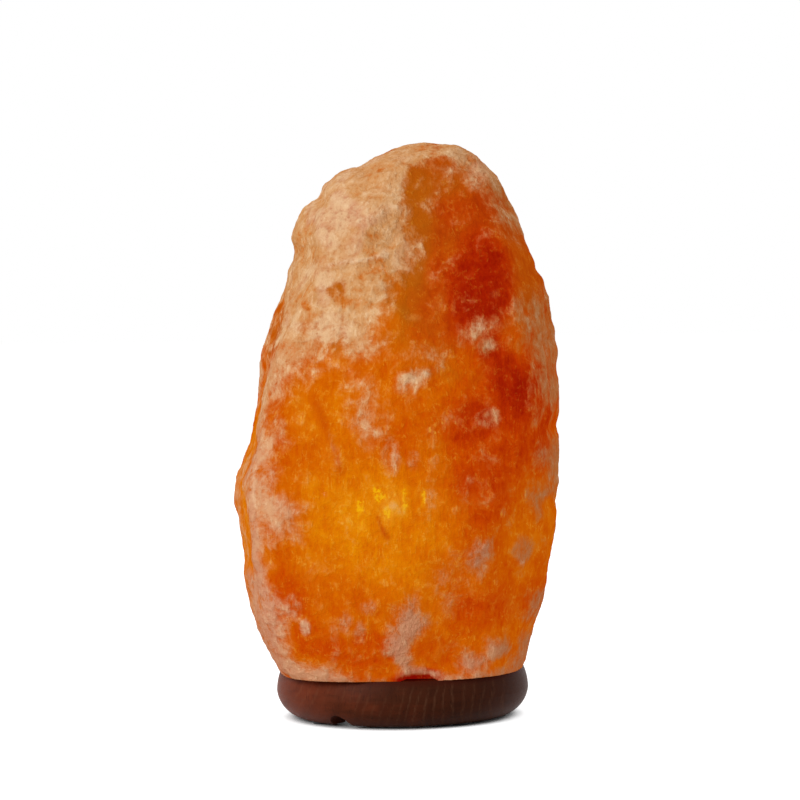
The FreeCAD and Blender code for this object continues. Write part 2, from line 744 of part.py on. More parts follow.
def contact_insert():
    """The moulded core that carries both contacts, with a slot for each one's tail."""
    core = solid("Cylinder", "InsertCore", {
        "Radius": f"{DOME_INNER} - fit_clearance",
        "Height": "insert_thickness",
    }, {"z": INSERT_UNDER})
    slots = [
        solid("Box", f"InsertSlot{side}", {
            "Length": "contact_thickness + 2 * fit_clearance",
            "Width": "contact_width + 2 * fit_clearance",
            "Height": "insert_thickness",
        }, {
            "x": f"{sign} * terminal_offset - contact_thickness / 2 - fit_clearance",
            "y": "-contact_width / 2 - fit_clearance",
            "z": INSERT_UNDER,
        })
        for side, sign in (("Right", 1), ("Left", -1))
    ]
    seat = solid("Box", "SideContactSeat", {
        "Length": "side_contact_reach + fit_clearance",
        "Width": "contact_width + 2 * fit_clearance",
        "Height": "contact_thickness",
    }, {
        "x": "-terminal_offset - side_contact_reach - fit_clearance",
        "y": "-contact_width / 2 - fit_clearance",
        "z": f"{DOME_TOP} - contact_thickness",
    })
    return cut("ContactInsert", core, [*slots, seat])


def strip(name, middle, side):
    """A contact strip: its middle line in XZ, thickened and drawn to the contact's width."""
    thick, wide = value("contact_thickness") / 2, value("contact_width")
    points = [Vector(side * x, 0, z) for x, z in middle]
    normals = []
    for before, after in zip(points, points[1:]):
        run = (after - before).normalize()
        normals.append(Vector(-run.z, 0, run.x))
    offsets = [normals[0]]
    for first, second in zip(normals, normals[1:]):
        offsets.append((first + second) * (1 / (1 + first.dot(second))))
    offsets.append(normals[-1])
    upper = [point + offset * thick for point, offset in zip(points, offsets)]
    lower = [point - offset * thick for point, offset in zip(points, offsets)]
    loop = [*upper, *reversed(lower), upper[0]]
    face = Part.Face(Part.makePolygon([point - Vector(0, wide / 2, 0) for point in loop]))
    return shaped(name, face.extrude(Vector(0, wide, 0)))


def centre_contact():
    """A sprung tongue from the right slot up to the bulb's tip."""
    half = value("contact_thickness") / 2
    slot, top = value("terminal_offset"), value(DOME_TOP)
    return strip("CentreContact", [
        (slot, value(INSERT_UNDER)),
        (slot, top + half),
        (0.45 * slot, top + half + 0.25),
        (0.1 * slot, top + half + value("contact_rise")),
        (-0.25 * slot, top + half + value("contact_rise")),
    ], 1)


def side_contact():
    """A tab from the left slot, folded out under the screw shell's flange."""
    slot, top = value("terminal_offset"), value(DOME_TOP) - value("contact_thickness") / 2
    return strip("SideContact", [
        (slot, value(INSERT_UNDER)),
        (slot, top),
        (slot + value("side_contact_reach"), top),
    ], -1)


piece(contact_insert(), "contact_insert")
piece(centre_contact(), "centre_contact")
piece(side_contact(), "side_contact")


def terminal(side, sign):
    """A brass block under one contact, drilled across for its wire screw."""
    block = solid("Box", f"TerminalBlock{side}", {
        "Length": "terminal_size",
        "Width": "terminal_size",
        "Height": "terminal_size",
    }, {
        "x": f"{sign} * terminal_offset - terminal_size / 2",
        "y": "-terminal_size / 2",
        "z": f"{INSERT_UNDER} - terminal_size",
    })
    hole = terminal_cylinder(f"TerminalHole{side}", sign, "terminal_screw_radius + fit_clearance", "terminal_size",
                             "terminal_size / 2")
    screw = terminal_cylinder(f"TerminalScrew{side}", sign, "terminal_screw_radius", "terminal_screw_length",
                              "terminal_size / 2")
    return cut(f"Terminal{side}", block, [hole]), screw


def terminal_cylinder(name, sign, radius, length, start):
    """A round bar across the terminal, from its front face backwards."""
    bar = document.addObject("Part::Cylinder", name)
    bar.setExpression("Radius", bound(radius))
    bar.setExpression("Height", bound(length))
    bar.Placement = Placement(Vector(0, 0, 0), Rotation(Vector(1, 0, 0), -90))
    bar.setExpression("Placement.Base.x", bound(f"{sign} * terminal_offset"))
    bar.setExpression("Placement.Base.y", bound(f"-({start})"))
    bar.setExpression("Placement.Base.z", bound(f"{INSERT_UNDER} - terminal_size / 2"))
    return bar


terminals = [terminal(side, sign) for side, sign in (("Right", 1), ("Left", -1))]
piece(group("Terminals", [block for block, _ in terminals]), "terminals")
piece(group("TerminalScrews", [screw for _, screw in terminals]), "terminal_screws")

# ---------------------------------------------------------------- bulb
piece(turned("BulbContact", [
    ("0 * tip_radius", TIP_UNDER),
    ("tip_radius - tip_rounding", TIP_UNDER),
    ("tip_radius", f"{TIP_UNDER} + tip_rounding"),
    ("tip_radius", TIP_TOP),
    ("0 * tip_radius", TIP_TOP),
]), "bulb_contact")

piece(turned("BulbInsulator", [
    ("0 * tip_radius", TIP_TOP),
    ("1.25 * tip_radius", TIP_TOP),
    ("cap_radius - cap_thread_depth", CAP_FOOT),
    ("0 * tip_radius", CAP_FOOT),
]), "bulb_insulator")


def cap_outline():
    """The cap's half outline: a thin shell whose outside is rolled into ridges."""
    ridges = int(value("cap_length - cap_plain_length") / value("cap_thread_pitch"))
    outline = [
        ("cap_radius - cap_thread_depth - cap_wall", CAP_FOOT),
        ("cap_radius - cap_thread_depth", CAP_FOOT),
    ]
    for ridge in range(ridges):
        middle = f"{CAP_FOOT} + cap_thread_pitch * {ridge + 0.75}"
        outline.append(("cap_radius - cap_thread_depth", f"{middle} - cap_thread_pitch * 0.45"))
        outline.append(("cap_radius", f"{middle} - cap_thread_pitch * 0.15"))
        outline.append(("cap_radius", f"{middle} + cap_thread_pitch * 0.15"))
        outline.append(("cap_radius - cap_thread_depth", f"{middle} + cap_thread_pitch * 0.45"))
    outline.append(("cap_radius - cap_thread_depth", CAP_TOP))
    outline.append(("cap_radius - cap_thread_depth - cap_wall", CAP_TOP))
    return outline


piece(turned("BulbCap", cap_outline()), "bulb_cap")

# Where the neck's cone ends inside the ball, across and below its centre, as shares of the ball's radius.
CONE_END_ACROSS, CONE_END_BELOW = 0.93, 0.30


def bulb_envelope(name, inset):
    """The bulb's outside, or its hollow when inset by the glass: neck, cone and ball."""
    neck = f"(bulb_neck_radius - {inset})"
    ball = f"(bulb_radius - {inset})"
    whole = document.addObject("Part::MultiFuse", name)
    whole.Shapes = [
        solid("Cylinder", name + "Neck", {
            "Radius": neck,
            "Height": "glass_seat + neck_length",
        }, {"z": f"{CAP_TOP} - glass_seat"}),
        solid("Cone", name + "Cone", {
            "Radius1": neck,
            "Radius2": f"{CONE_END_ACROSS} * {ball}",
            "Height": f"{BULB_CENTRE} - {CONE_END_BELOW} * {ball} - {CAP_TOP} - neck_length",
        }, {"z": f"{CAP_TOP} + neck_length"}),
        solid("Sphere", name + "Ball", {"Radius": ball}, {"z": BULB_CENTRE}),
    ]
    return whole


piece(cut("BulbGlass", bulb_envelope("BulbOuter", "0 * glass_wall"), [bulb_envelope("BulbHollow", "glass_wall")]),
      "bulb_glass")

piece(turned("BulbStem", [
    ("0 * stem_radius", STEM_FOOT),
    ("bulb_neck_radius - glass_wall - fit_clearance", STEM_FOOT),
    ("bulb_neck_radius - glass_wall - fit_clearance", f"{STEM_FOOT} + glass_wall"),
    ("stem_radius", f"{STEM_FOOT} + 4 * glass_wall"),
    ("stem_radius", STEM_TOP),
    ("0 * stem_radius", STEM_TOP),
]), "bulb_stem")


def tube(path, radius):
    """A round wire along a path."""
    start = path.Vertexes[0].Point
    along_path = path.Edges[0].tangentAt(path.Edges[0].FirstParameter)
    section = Part.Wire(Part.makeCircle(radius, start, along_path))
    return path.makePipeShell([section], True, False)


def lead_end(side):
    """Where a lead's top carries the filament."""
    return Vector(side * value("lead_spread"), 0, value(STEM_TOP) + value("lead_height"))


def lead(side):
    """One wire from the top of the stem out to the filament."""
    foot = Vector(side * value("stem_radius") * 0.5, 0, value(STEM_TOP) + value("lead_radius"))
    return tube(Part.Wire(Part.makeLine(foot, lead_end(side))), value("lead_radius"))


def filament():
    """The filament's bow between the leads' ends."""
    lift = Vector(0, 0, value("lead_radius") + value("filament_radius"))
    left, right = lead_end(-1) + lift, lead_end(1) + lift
    top = (left + right) * 0.5 + Vector(0, 0, value("filament_rise"))
    return tube(Part.Wire(Part.Arc(left, top, right).toShape()), value("filament_radius"))


piece(shaped("BulbLeads", Part.makeCompound([lead(-1), lead(1)])), "bulb_leads")
piece(shaped("BulbFilament", filament()), "bulb_filament")


# ---------------------------------------------------------------- checks and files
def write_parts():
    """Recomputes, refuses a failed object, and writes one STEP file for each piece."""
    document.recompute()
    for thing in document.Objects:
        if "Invalid" in thing.State or "Error" in thing.State:
            raise RuntimeError(f"{thing.Name} failed: {thing.State}")
    os.makedirs("parts", exist_ok=True)
    for label, thing in pieces.items():
        shape = thing.Shape
        if shape.isNull() or not shape.isValid() or not shape.Solids:
            raise RuntimeError(f"{label} has no valid solid")
        shape.exportStep(f"parts/{label}.step")
        print(label, len(shape.Solids), "solids", round(shape.Volume, 1), "mm3")


write_parts()
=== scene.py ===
"""Salt crystal lamp: a hewn block of glowing rock salt on a turned walnut foot, lit by the bulb inside it."""

import logging
import math
from collections.abc import Mapping, Sequence
from dataclasses import dataclass, field
from enum import Enum, IntEnum
from typing import Any

import bmesh
import bpy
import numpy as np
from mathutils import Matrix, Vector


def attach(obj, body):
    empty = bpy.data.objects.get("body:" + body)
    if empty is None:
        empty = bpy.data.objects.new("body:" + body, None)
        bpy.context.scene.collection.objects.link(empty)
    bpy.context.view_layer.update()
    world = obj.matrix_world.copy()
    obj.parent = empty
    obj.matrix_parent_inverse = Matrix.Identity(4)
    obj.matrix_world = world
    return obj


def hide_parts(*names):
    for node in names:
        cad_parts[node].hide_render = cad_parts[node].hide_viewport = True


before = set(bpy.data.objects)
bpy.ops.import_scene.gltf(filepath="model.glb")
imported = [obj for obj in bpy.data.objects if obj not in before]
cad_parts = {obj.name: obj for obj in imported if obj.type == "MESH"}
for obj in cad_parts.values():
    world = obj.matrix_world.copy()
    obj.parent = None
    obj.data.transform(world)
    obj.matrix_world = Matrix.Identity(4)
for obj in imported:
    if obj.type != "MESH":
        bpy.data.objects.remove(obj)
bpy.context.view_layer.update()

log = logging.getLogger("salt_lamp")

Colour = tuple[float, float, float]
Point = tuple[float, float, float]
Pair = tuple[float, float]
MM = 0.001
WHITE: Colour = (1.0, 1.0, 1.0)


def seen(*reading: float) -> Colour:
    """Turns a colour as the eye reads it, each part 0 to 255, into amounts of light from 0 to 1."""
    shares = (part / 255.0 for part in reading)
    return tuple(s / 12.92 if s <= 0.04045 else ((s + 0.055) / 1.055) ** 2.4 for s in shares)


# ---------------------------------------------------------------- material bench


class Wire:
    """One value on its way through a finish, with the arithmetic that a finish is written in."""

    def __init__(self, bench: "Bench", socket: bpy.types.NodeSocket | None) -> None:
        """Keeps the socket that the value comes out of, which a material's end lacks."""
        self.bench = bench
        self.socket = socket

    def maths(self, operation: str, first: "Value", second: "Value" = 0.0) -> "Wire":
        """Adds one sum, such as ADD, of two values to the bench."""
        return self.bench.add("ShaderNodeMath", {"operation": operation}, {0: first, 1: second})

    def __add__(self, other: "Value") -> "Wire":
        """self + other."""
        return self.maths("ADD", self, other)

    def __radd__(self, other: "Value") -> "Wire":
        """other + self."""
        return self.maths("ADD", other, self)

    def __sub__(self, other: "Value") -> "Wire":
        """self - other."""
        return self.maths("SUBTRACT", self, other)

    def __rsub__(self, other: "Value") -> "Wire":
        """other - self."""
        return self.maths("SUBTRACT", other, self)

    def __mul__(self, other: "Value") -> "Wire":
        """self * other."""
        return self.maths("MULTIPLY", self, other)

    def __rmul__(self, other: "Value") -> "Wire":
        """other * self."""
        return self.maths("MULTIPLY", other, self)

    def __abs__(self) -> "Wire":
        """abs(self)."""
        return self.maths("ABSOLUTE", self)

    def sine(self) -> "Wire":
        """The sine of it."""
        return self.maths("SINE", self)

    def least(self, other: "Value") -> "Wire":
        """The smaller of the two."""
        return self.maths("MINIMUM", self, other)

    def most(self, other: "Value") -> "Wire":
        """The larger of the two."""
        return self.maths("MAXIMUM", self, other)

    def rise(self, low: float, high: float, start: float = 0.0, end: float = 1.0) -> "Wire":
        """A soft step: start where it is under low, end where it is over high."""
        sockets = {"Value": self, "From Min": low, "From Max": high, "To Min": start, "To Max": end}
        return self.bench.add("ShaderNodeMapRange", {"interpolation_type": "SMOOTHSTEP"}, sockets)


Value = Wire | float


class Bench:
    """The bench on which one material, or the surroundings, is put together."""

    def __init__(self, owner: bpy.types.Material | bpy.types.World) -> None:
        """Clears the nodes of what is made on it.

        Args:
            owner: The new material or the surroundings.
        """
        owner.use_nodes = True
        self.owner = owner
        self.tree = owner.node_tree
        self.tree.nodes.clear()

    @classmethod
    def of(cls, name: str) -> "Bench":
        """A bench for a new material of this name."""
        return cls(bpy.data.materials.new(name))

    def add(
        self, kind: str, settings: Mapping[str, Any], sockets: Mapping[str | int, Any], out: str | int = 0,
    ) -> Wire:
        """Adds one node: its settings first, then what goes into its sockets.

        Args:
            kind: The node's type.
            settings: Its settings by name; "stops" fills a colour ramp.
            sockets: A value or a wire for each socket, by name or number.
            out: Which output is wanted.

        Returns:
            The value at that output.
        """
        node = self.tree.nodes.new(kind)
        for key, value in settings.items():
            if key == "stops":
                ramp = node.color_ramp.elements
                while len(ramp) < len(value):
                    ramp.new(1.0)
                for stop, (place, tint) in zip(ramp, value):
                    stop.position, stop.color = place, (*tint, 1.0)
            else:
                setattr(node, key, value)
        for key, value in sockets.items():
            socket = node.inputs[key]
            if isinstance(value, Wire):
                self.tree.links.new(value.socket, socket)
            elif socket.type == "RGBA" and len(value) == 3:
                socket.default_value = (*value, 1.0)
            else:
                socket.default_value = value
        return Wire(self, node.outputs[out] if len(node.outputs) else None)

    def place(self, stretch: Point = (1.0, 1.0, 1.0), turn: Point = (0.0, 0.0, 0.0)) -> Wire:
        """Where a point lies on the piece in metres, drawn out, then turned by degrees about X, Y and Z."""
        sockets = {"Rotation": tuple(math.radians(part) for part in turn), "Scale": stretch}
        return self.add("ShaderNodeMapping", {}, sockets | {"Vector": self.whereabouts()})

    def whereabouts(self) -> Wire:
        """Where a point lies on the piece, in metres."""
        return self.add("ShaderNodeTexCoord", {}, {}, "Object")

    def split(self, where: Wire, part: str) -> Wire:
        """One of a place's three parts, named X, Y or Z."""
        return self.add("ShaderNodeSeparateXYZ", {}, {"Vector": where}, part)

    def cloud(self, where: Wire, wave: float, detail: float, rough: float, warp: float = 0.0) -> Wire:
        """Soft unevenness from 0 to 1, its widest swells of a size in millimetres, finer ones on them."""
        sockets = {"Vector": where, "Scale": 1.0 / (wave * MM), "Detail": detail, "Roughness": rough}
        return self.add("ShaderNodeTexNoise", {}, sockets | {"Distortion": warp})

    def cells(self, where: Wire, wave: float) -> Wire:
        """Packed grains of a size in millimetres: 0 in the middle of a grain, more towards its rim."""
        return self.add("ShaderNodeTexVoronoi", {}, {"Vector": where, "Scale": 1.0 / (wave * MM)})

    def tints(self, value: Wire, stops: Sequence[tuple[float, Colour]]) -> Wire:
        """Colours along a scale from 0 to 1, each with its place on it."""
        return self.add("ShaderNodeValToRGB", {"stops": stops}, {"Fac": value})

    def blend(self, first: Wire | Colour, second: Wire | Colour, share: Value) -> Wire:
        """A first colour with a share of a second laid over it."""
        return self.add("ShaderNodeMix", {"data_type": "RGBA"}, {0: share, 6: first, 7: second}, 2)

    def dimmed(self, tint: Wire, amount: Value) -> Wire:
        """A colour made stronger or weaker by an amount."""
        return self.add("ShaderNodeVectorMath", {"operation": "SCALE"}, {0: tint, "Scale": amount})

    def relief(self, height: Wire, depth: float, under: Wire | None = None, strength: float = 1.0) -> Wire:
        """Hills and dents too fine for the mesh, up to a depth in millimetres, on any relief under them."""
        sockets = {"Height": height, "Distance": depth * MM, "Strength": strength}
        return self.add("ShaderNodeBump", {}, sockets if under is None else sockets | {"Normal": under})

    def close(self, shader: Wire) -> bpy.types.Material:
        """Joins a shader to the material's output and gives the material."""
        self.add("ShaderNodeOutputMaterial", {}, {"Surface": shader})
        return self.owner

    def surface(self, sockets: Mapping[str | int, Any]) -> bpy.types.Material:
        """Ends the material in a surface with these values and wires, and gives it."""
        return self.close(self.add("ShaderNodeBsdfPrincipled", {}, sockets))


# ---------------------------------------------------------------- finishes


@dataclass(frozen=True)
class SaltNoise:
    """Where a point lies, and the salt's unevenness there about 0: broadest first, then on two slants."""

    here: Wire
    broad: Wire
    swell: Wire
    mottle: Wire
    grit: Wire
    fibre: Wire
    slant: Wire


@dataclass(frozen=True)
class RockSalt:
    """Rock salt lit from within, its glow painted in as emission: pale crust over clear salt, yellow by the
    bulb and deep red far from it.
    """

    ember: Colour = seen(150, 14, 2)
    deep_red: Colour = seen(168, 32, 3)
    red_orange_glow: Colour = seen(190, 52, 2)
    flame: Colour = seen(206, 74, 2)
    orange: Colour = seen(212, 92, 2)
    amber: Colour = seen(223, 112, 3)
    yellow: Colour = seen(236, 139, 4)
    blaze: Colour = seen(250, 178, 10)
    ochre_glow: Colour = seen(176, 92, 14)
    cream: Colour = seen(235, 207, 163)
    tan: Colour = seen(210, 163, 109)
    pink: Colour = seen(206, 156, 128)
    # The crust's darker tone, also the colour of its painted shade on the right side.
    stain_and_shade: Colour = seen(206, 120, 48)
    through: Colour = seen(212, 116, 40)
    crack: Colour = seen(192, 58, 2)
    # Colours of painted highlights: sheen on the crust, gleam and glints on the clearer salt.
    frost: Colour = seen(252, 226, 186)
    gleam: Colour = seen(250, 170, 70)
    glint: Colour = seen(255, 186, 60)
    shade: Colour = seen(150, 70, 26)
    ochre_over: Pair = (0.145, 0.200)
    pink_under: Pair = (0.070, 0.185)
    side_shade_past: Pair = (0.034, 0.066)
    relief_depth: float = 2.2
    fibre_depth: float = 0.30

    def clear(self, b: Bench, noise: SaltNoise, glow_map: Wire, glint_dashes: Wire) -> Wire:
        """The colour of the clear salt: its painted glow, with painted glints.

        Args:
            b: The bench.
            noise: The salt's unevenness.
            glow_map: How brightly the salt glows.
            glint_dashes: Painted glints, as short bright flecks.

        Returns:
            The colour.
        """
        # The clear salt's colour is the bulb's light through it, painted in as a glow from deep red to
        # yellow.
        glow_level = glow_map + noise.broad * 0.34 + noise.swell * 0.40 + noise.fibre * 0.24
        glow_level = glow_level + noise.slant * 0.14 + noise.mottle * 0.22 + noise.grit * 0.14
        glow_level = glow_level + glow_map.rise(0.74, 0.95) * (noise.mottle * 0.9 + noise.grit * 1.3)
        clear = b.tints(glow_level, (
            (0.00, self.ember), (0.14, self.deep_red), (0.29, self.red_orange_glow), (0.42, self.flame),
            (0.53, self.orange), (0.67, self.amber), (0.84, self.yellow), (1.00, self.blaze),
        ))
        # Painted glow: towards the top the glow turns a dimmer ochre.
        high_up = (b.split(noise.here, "Z") + noise.broad * 0.12).rise(*self.ochre_over)
        clear = b.blend(clear, self.ochre_glow, glow_map.rise(0.22, 0.50) * high_up * 0.72)
        # Painted glints in the clear salt: bright fibre lines and flecks.
        lines = (1.0 - abs(noise.fibre) * 26.0).rise(0.1, 0.95) * noise.mottle.rise(-0.02, 0.12)
        glints = (lines * 0.34).most(glint_dashes * 0.72) * (0.3 + glow_map.rise(0.1, 0.8) * 0.7)
        return b.blend(clear, self.glint, glints)

    def pale(self, b: Bench, noise: SaltNoise, tone: Wire) -> Wire:
        """The colour of the crust, with painted shade towards its right side.

        Args:
            b: The bench.
            noise: The salt's unevenness.
            tone: How pale the crust is.

        Returns:
            The colour.
        """
        low_down = (b.split(noise.here, "Z") + noise.broad * 0.10).rise(*self.pink_under, 1.0, 0.0)
        # Painted shade: towards the right side, away from the key lamp, the crust turns a deeper orange.
        aside = (b.split(noise.here, "X") + noise.broad * 0.05).rise(*self.side_shade_past)
        middle = b.blend(self.tan, self.pink, low_down.most(noise.broad.rise(-0.02, 0.16) * 0.8))
        pale = b.blend(self.stain_and_shade, middle, tone.rise(0.12, 0.52))
        pale = b.blend(pale, self.cream, tone.rise(0.46, 0.90) * (0.85 - low_down * 0.60))
        return b.blend(pale, self.stain_and_shade, aside * 0.55)

    def make(self) -> bpy.types.Material:
        """Puts the rock salt together from the block's maps of crust, painted glow, cracks and painted sheen.

        Returns:
            The finished material.
        """
        b = Bench.of("salt")
        here = b.place()
        crust_map, glow_map, crack_map, painted_sheen_map = (
            b.add("ShaderNodeAttribute", {"attribute_name": name}, {}, "Fac")
            for name in ("crust", "glow", "crack", "frost")
        )
        noise = SaltNoise(
            here,
            b.cloud(here, 24.0, 3.0, 0.5, 0.6) - 0.5,
            b.cloud(here, 10.0, 5.0, 0.62, 0.5) - 0.5,
            b.cloud(here, 4.2, 4.0, 0.65, 0.4) - 0.5,
            b.cloud(here, 1.4, 2.0, 0.55, 0.2) - 0.5,
            b.cloud(b.place((1.0, 1.0, 0.26), (12.0, 20.0, 0.0)), 2.4, 4.0, 0.62, 0.9) - 0.5,
            b.cloud(b.place((1.0, 1.0, 0.24), (0.0, -42.0, 10.0)), 2.2, 3.0, 0.6, 0.9) - 0.5,
        )
        _, broad, swell, mottle, grit, fibre, slant = vars(noise).values()
        flecks = b.cells(b.place((1.0, 1.0, 0.36), (8.0, 24.0, 0.0)), 2.3)
        shards = b.cells(here, 2.4)

        unrest = swell * 1.7 + mottle * 0.8 + fibre * 0.35 + slant * 0.35 + grit * 0.18
        crust = (crust_map + unrest * (1.0 - crust_map.rise(0.5, 1.0) * 0.50)).rise(0.06, 0.90)
        haze = crust_map * 0.7 + broad * 1.6 + swell * 1.6 + fibre * 0.6 + mottle * 0.5
        # Painted glints: short bright flecks, on the clear salt and on the crust.
        glint_dashes = (1.0 - flecks + grit * 0.5).rise(0.66, 0.92)
        glint_dashes = glint_dashes * swell.rise(0.02, 0.14) * mottle.rise(-0.04, 0.08)
        tone = 0.60 + broad * 0.9 + swell * 1.3 + mottle * 0.7 + slant * 0.25 + fibre * 0.2 + grit * 0.4

        clear, pale = self.clear(b, noise, glow_map, glint_dashes), self.pale(b, noise, tone)
        # Painted highlights on the crust: glints along its streaks, bright flecks and sheen on its ridges,
        # with a little real gloss from the coat.
        streak_glints = (1.0 - abs(slant) * 24.0).rise(0.0, 0.9) * mottle.rise(-0.02, 0.12)
        bright = (streak_glints * crust * 0.34).most(glint_dashes * crust * 0.6)
        bright = bright.most(painted_sheen_map * (mottle * 2.6 + fibre * 1.6 + 0.62).rise(0.1, 0.9) * 0.9)
        cover = crust.most(haze.rise(0.05, 1.0) * 0.20)
        cover = cover * (0.92 - (0.5 - tone).rise(0.0, 0.4) * 0.20)
        cracked = crack_map * (0.85 + mottle * 1.5)
        body = b.blend(clear, pale, cover)
        # The painted highlights laid over the salt's colour.
        body = b.blend(body, b.blend(self.gleam, self.frost, crust.rise(0.15, 0.70)), bright)
        body = b.blend(body, self.shade, (0.0 - mottle - grit * 0.7).rise(0.06, 0.26) * crust * 0.22)
        body = b.blend(body, self.crack, cracked)
        inside = b.blend(b.blend(clear, self.through, cover * 0.8), self.crack, cracked)

        height = grit * 0.30 + mottle * 1.0 + swell * 1.3 + slant * 0.35 + (1.0 - shards) * 0.10 * crust
        facing = b.relief(height * (1.0 - crust * 0.45), self.relief_depth)
        return b.surface({
            "Base Color": b.dimmed(body, 0.27 + cover * 0.52),
            "Roughness": 0.40 + crust * 0.14 + grit * 0.3,
            "Coat Weight": bright * 0.20,
            "Coat Roughness": 0.16,
            "IOR": 1.14,
            "Specular IOR Level": 0.0,
            # Emission paints in the bulb's light through the salt: full in the clear salt, weaker under the
            # crust.
            "Emission Color": b.dimmed(inside, 0.69 - cover * 0.46),
            "Emission Strength": 1.0,
            "Normal": b.relief(fibre, self.fibre_depth, facing, 0.5),
        })


@dataclass(frozen=True)
class Walnut:
    """Turned dark hardwood, rubbed with oil: growth lines on a slant, short pale pores, and painted light
    that makes the left side lighter and redder.
    """

    heart: Colour = seen(66, 30, 15)
    lit_side_red: Colour = seen(112, 50, 29)
    dark: Colour = seen(30, 11, 6)
    pale: Colour = seen(150, 110, 82)
    # Painted shade, reddened by the salt's glow, along the top edge under the salt.
    shade_under_salt: Colour = seen(64, 20, 8)
    rings_per_metre: float = 1480.0 / math.tau
    ringed_within: Pair = (0.042, 0.051)
    shade_under_salt_over: Pair = (0.0178, 0.0206)

    def make(self) -> bpy.types.Material:
        """Puts the wood together from its growth lines and pores, with painted light on its left side and
        painted shade along the top edge under the salt.

        Returns:
            The finished material.
        """
        b = Bench.of("walnut")
        here = b.place()
        across, up = b.split(here, "X"), b.split(here, "Z")
        drift = b.cloud(b.place((1.0, 0.3, 1.0)), 24.0, 3.0, 0.5) - 0.5
        pores = b.cloud(b.place((1.0, 1.0, 0.16), (0.0, 8.0, 0.0)), 0.8, 4.0, 0.72) - 0.5
        bars = b.cloud(b.place((0.12, 0.12, 1.0), (0.0, 4.0, 0.0)), 2.6, 3.0, 0.6) - 0.5
        slope = (0.22 - across * 11.0).most(0.0).least(0.95)
        phase = (across - up * slope) * (self.rings_per_metre * math.tau) + drift * 16.0 + pores * 0.7
        ring = phase.sine().rise(0.30, 1.0) * (pores * 2.4 + 0.6).rise(0.2, 1.0)
        ring = ring * (drift * 3.0 + 0.55).rise(0.1, 0.9) * abs(across).rise(*self.ringed_within, 1.0, 0.0)
        slow = (phase * 0.37 + 1.3).sine()
        # Painted light: lighter and redder towards the left, the side the key lamp lights, broken up by the
        # wood's own streaks.
        lit_side = (0.0 - across * 20.0 + drift * 1.6 + bars * 1.2).rise(-0.2, 1.1)
        tint = b.blend(self.heart, self.lit_side_red, lit_side * 0.9)
        tint = b.blend(tint, self.dark, (slow * 0.5 + bars * 3.0).rise(0.0, 1.0) * 0.34)
        tint = b.blend(tint, self.dark, (0.0 - pores).rise(0.04, 0.20) * 0.45)
        tint = b.blend(tint, self.pale, ring * 0.13)
        tint = b.blend(tint, self.pale, pores.rise(0.14, 0.26) * bars.rise(0.0, 0.12) * 0.30)
        # Painted shade, reddened by the salt's glow, where the salt sits on the wood.
        tint = b.blend(tint, self.shade_under_salt, (up + drift * 0.002).rise(*self.shade_under_salt_over) * 0.85)
        return b.surface({
            "Base Color": tint,
            "Roughness": 0.46 + pores * 0.35 + ring * 0.1,
            "Specular IOR Level": 0.5,
            "IOR": 1.12,
            "Normal": b.relief(pores + ring * 0.15, 0.12, None, 0.7),
        })


@dataclass(frozen=True)
class Felt:
    """Pressed felt: short crossing hairs and no shine."""

    pile: Colour = seen(52, 50, 52)
    hair: Colour = seen(104, 100, 100)

    def make(self) -> bpy.types.Material:
        """Puts the felt together from its crossing hairs.

        Returns:
            The finished material.
        """
        b = Bench.of("felt")
        one = b.cloud(b.place((1.0, 0.14, 0.4), (0.0, 0.0, 33.0)), 0.30, 4.0, 0.7, 0.8)
        two = b.cloud(b.place((0.14, 1.0, 0.4), (0.0, 0.0, 21.0)), 0.26, 4.0, 0.7, 0.8)
        hairs = one.most(two)
        return b.surface({
            "Base Color": b.blend(self.pile, self.hair, hairs.rise(0.52, 0.78) * 0.6),
            "Roughness": 0.95 - hairs * 0.1,
            "Sheen Weight": 0.5,
            "Sheen Roughness": 0.5,
            "Specular IOR Level": 0.15,
            "Normal": b.relief(hairs, 0.25, None, 0.9),
        })


class Polish(Enum):
    """How a metal piece was left by its maker, as the direction and length of its marks."""

    TUMBLED = (1.0, 1.0, 1.0)
    TURNED = (0.05, 0.05, 1.0)
    ROLLED = (1.0, 0.05, 0.25)


@dataclass(frozen=True)
class Metal:
    """A metal piece with its maker's marks, handling haze and a little tarnish in its hollows."""

    name: str
    bright: Colour
    dull: Colour
    polish: Polish = Polish.TUMBLED
    gloss: float = 0.32
    mark: float = 0.9

    def make(self) -> bpy.types.Material:
        """Puts the metal together from marks, haze and tarnish.

        Returns:
            The finished material.
        """
        b = Bench.of(self.name)
        here = b.place()
        marks = b.cloud(b.place(self.polish.value), self.mark, 4.0, 0.65)
        haze = b.cloud(here, 6.0, 4.0, 0.6, 0.5)
        specks = b.cells(here, 1.4).rise(0.02, 0.16, 1.0, 0.0)
        worn = (haze + (marks - 0.5) * 0.4).rise(0.42, 0.66)
        tint = b.blend(self.bright, self.dull, worn * 0.75)
        return b.surface({
            "Base Color": b.blend(tint, self.dull, specks * haze.rise(0.5, 0.7) * 0.7),
            "Metallic": 1.0,
            "Roughness": self.gloss + worn * 0.16 + (marks - 0.5) * 0.22,
            "Normal": b.relief(marks, 0.05, None, 0.5),
        })


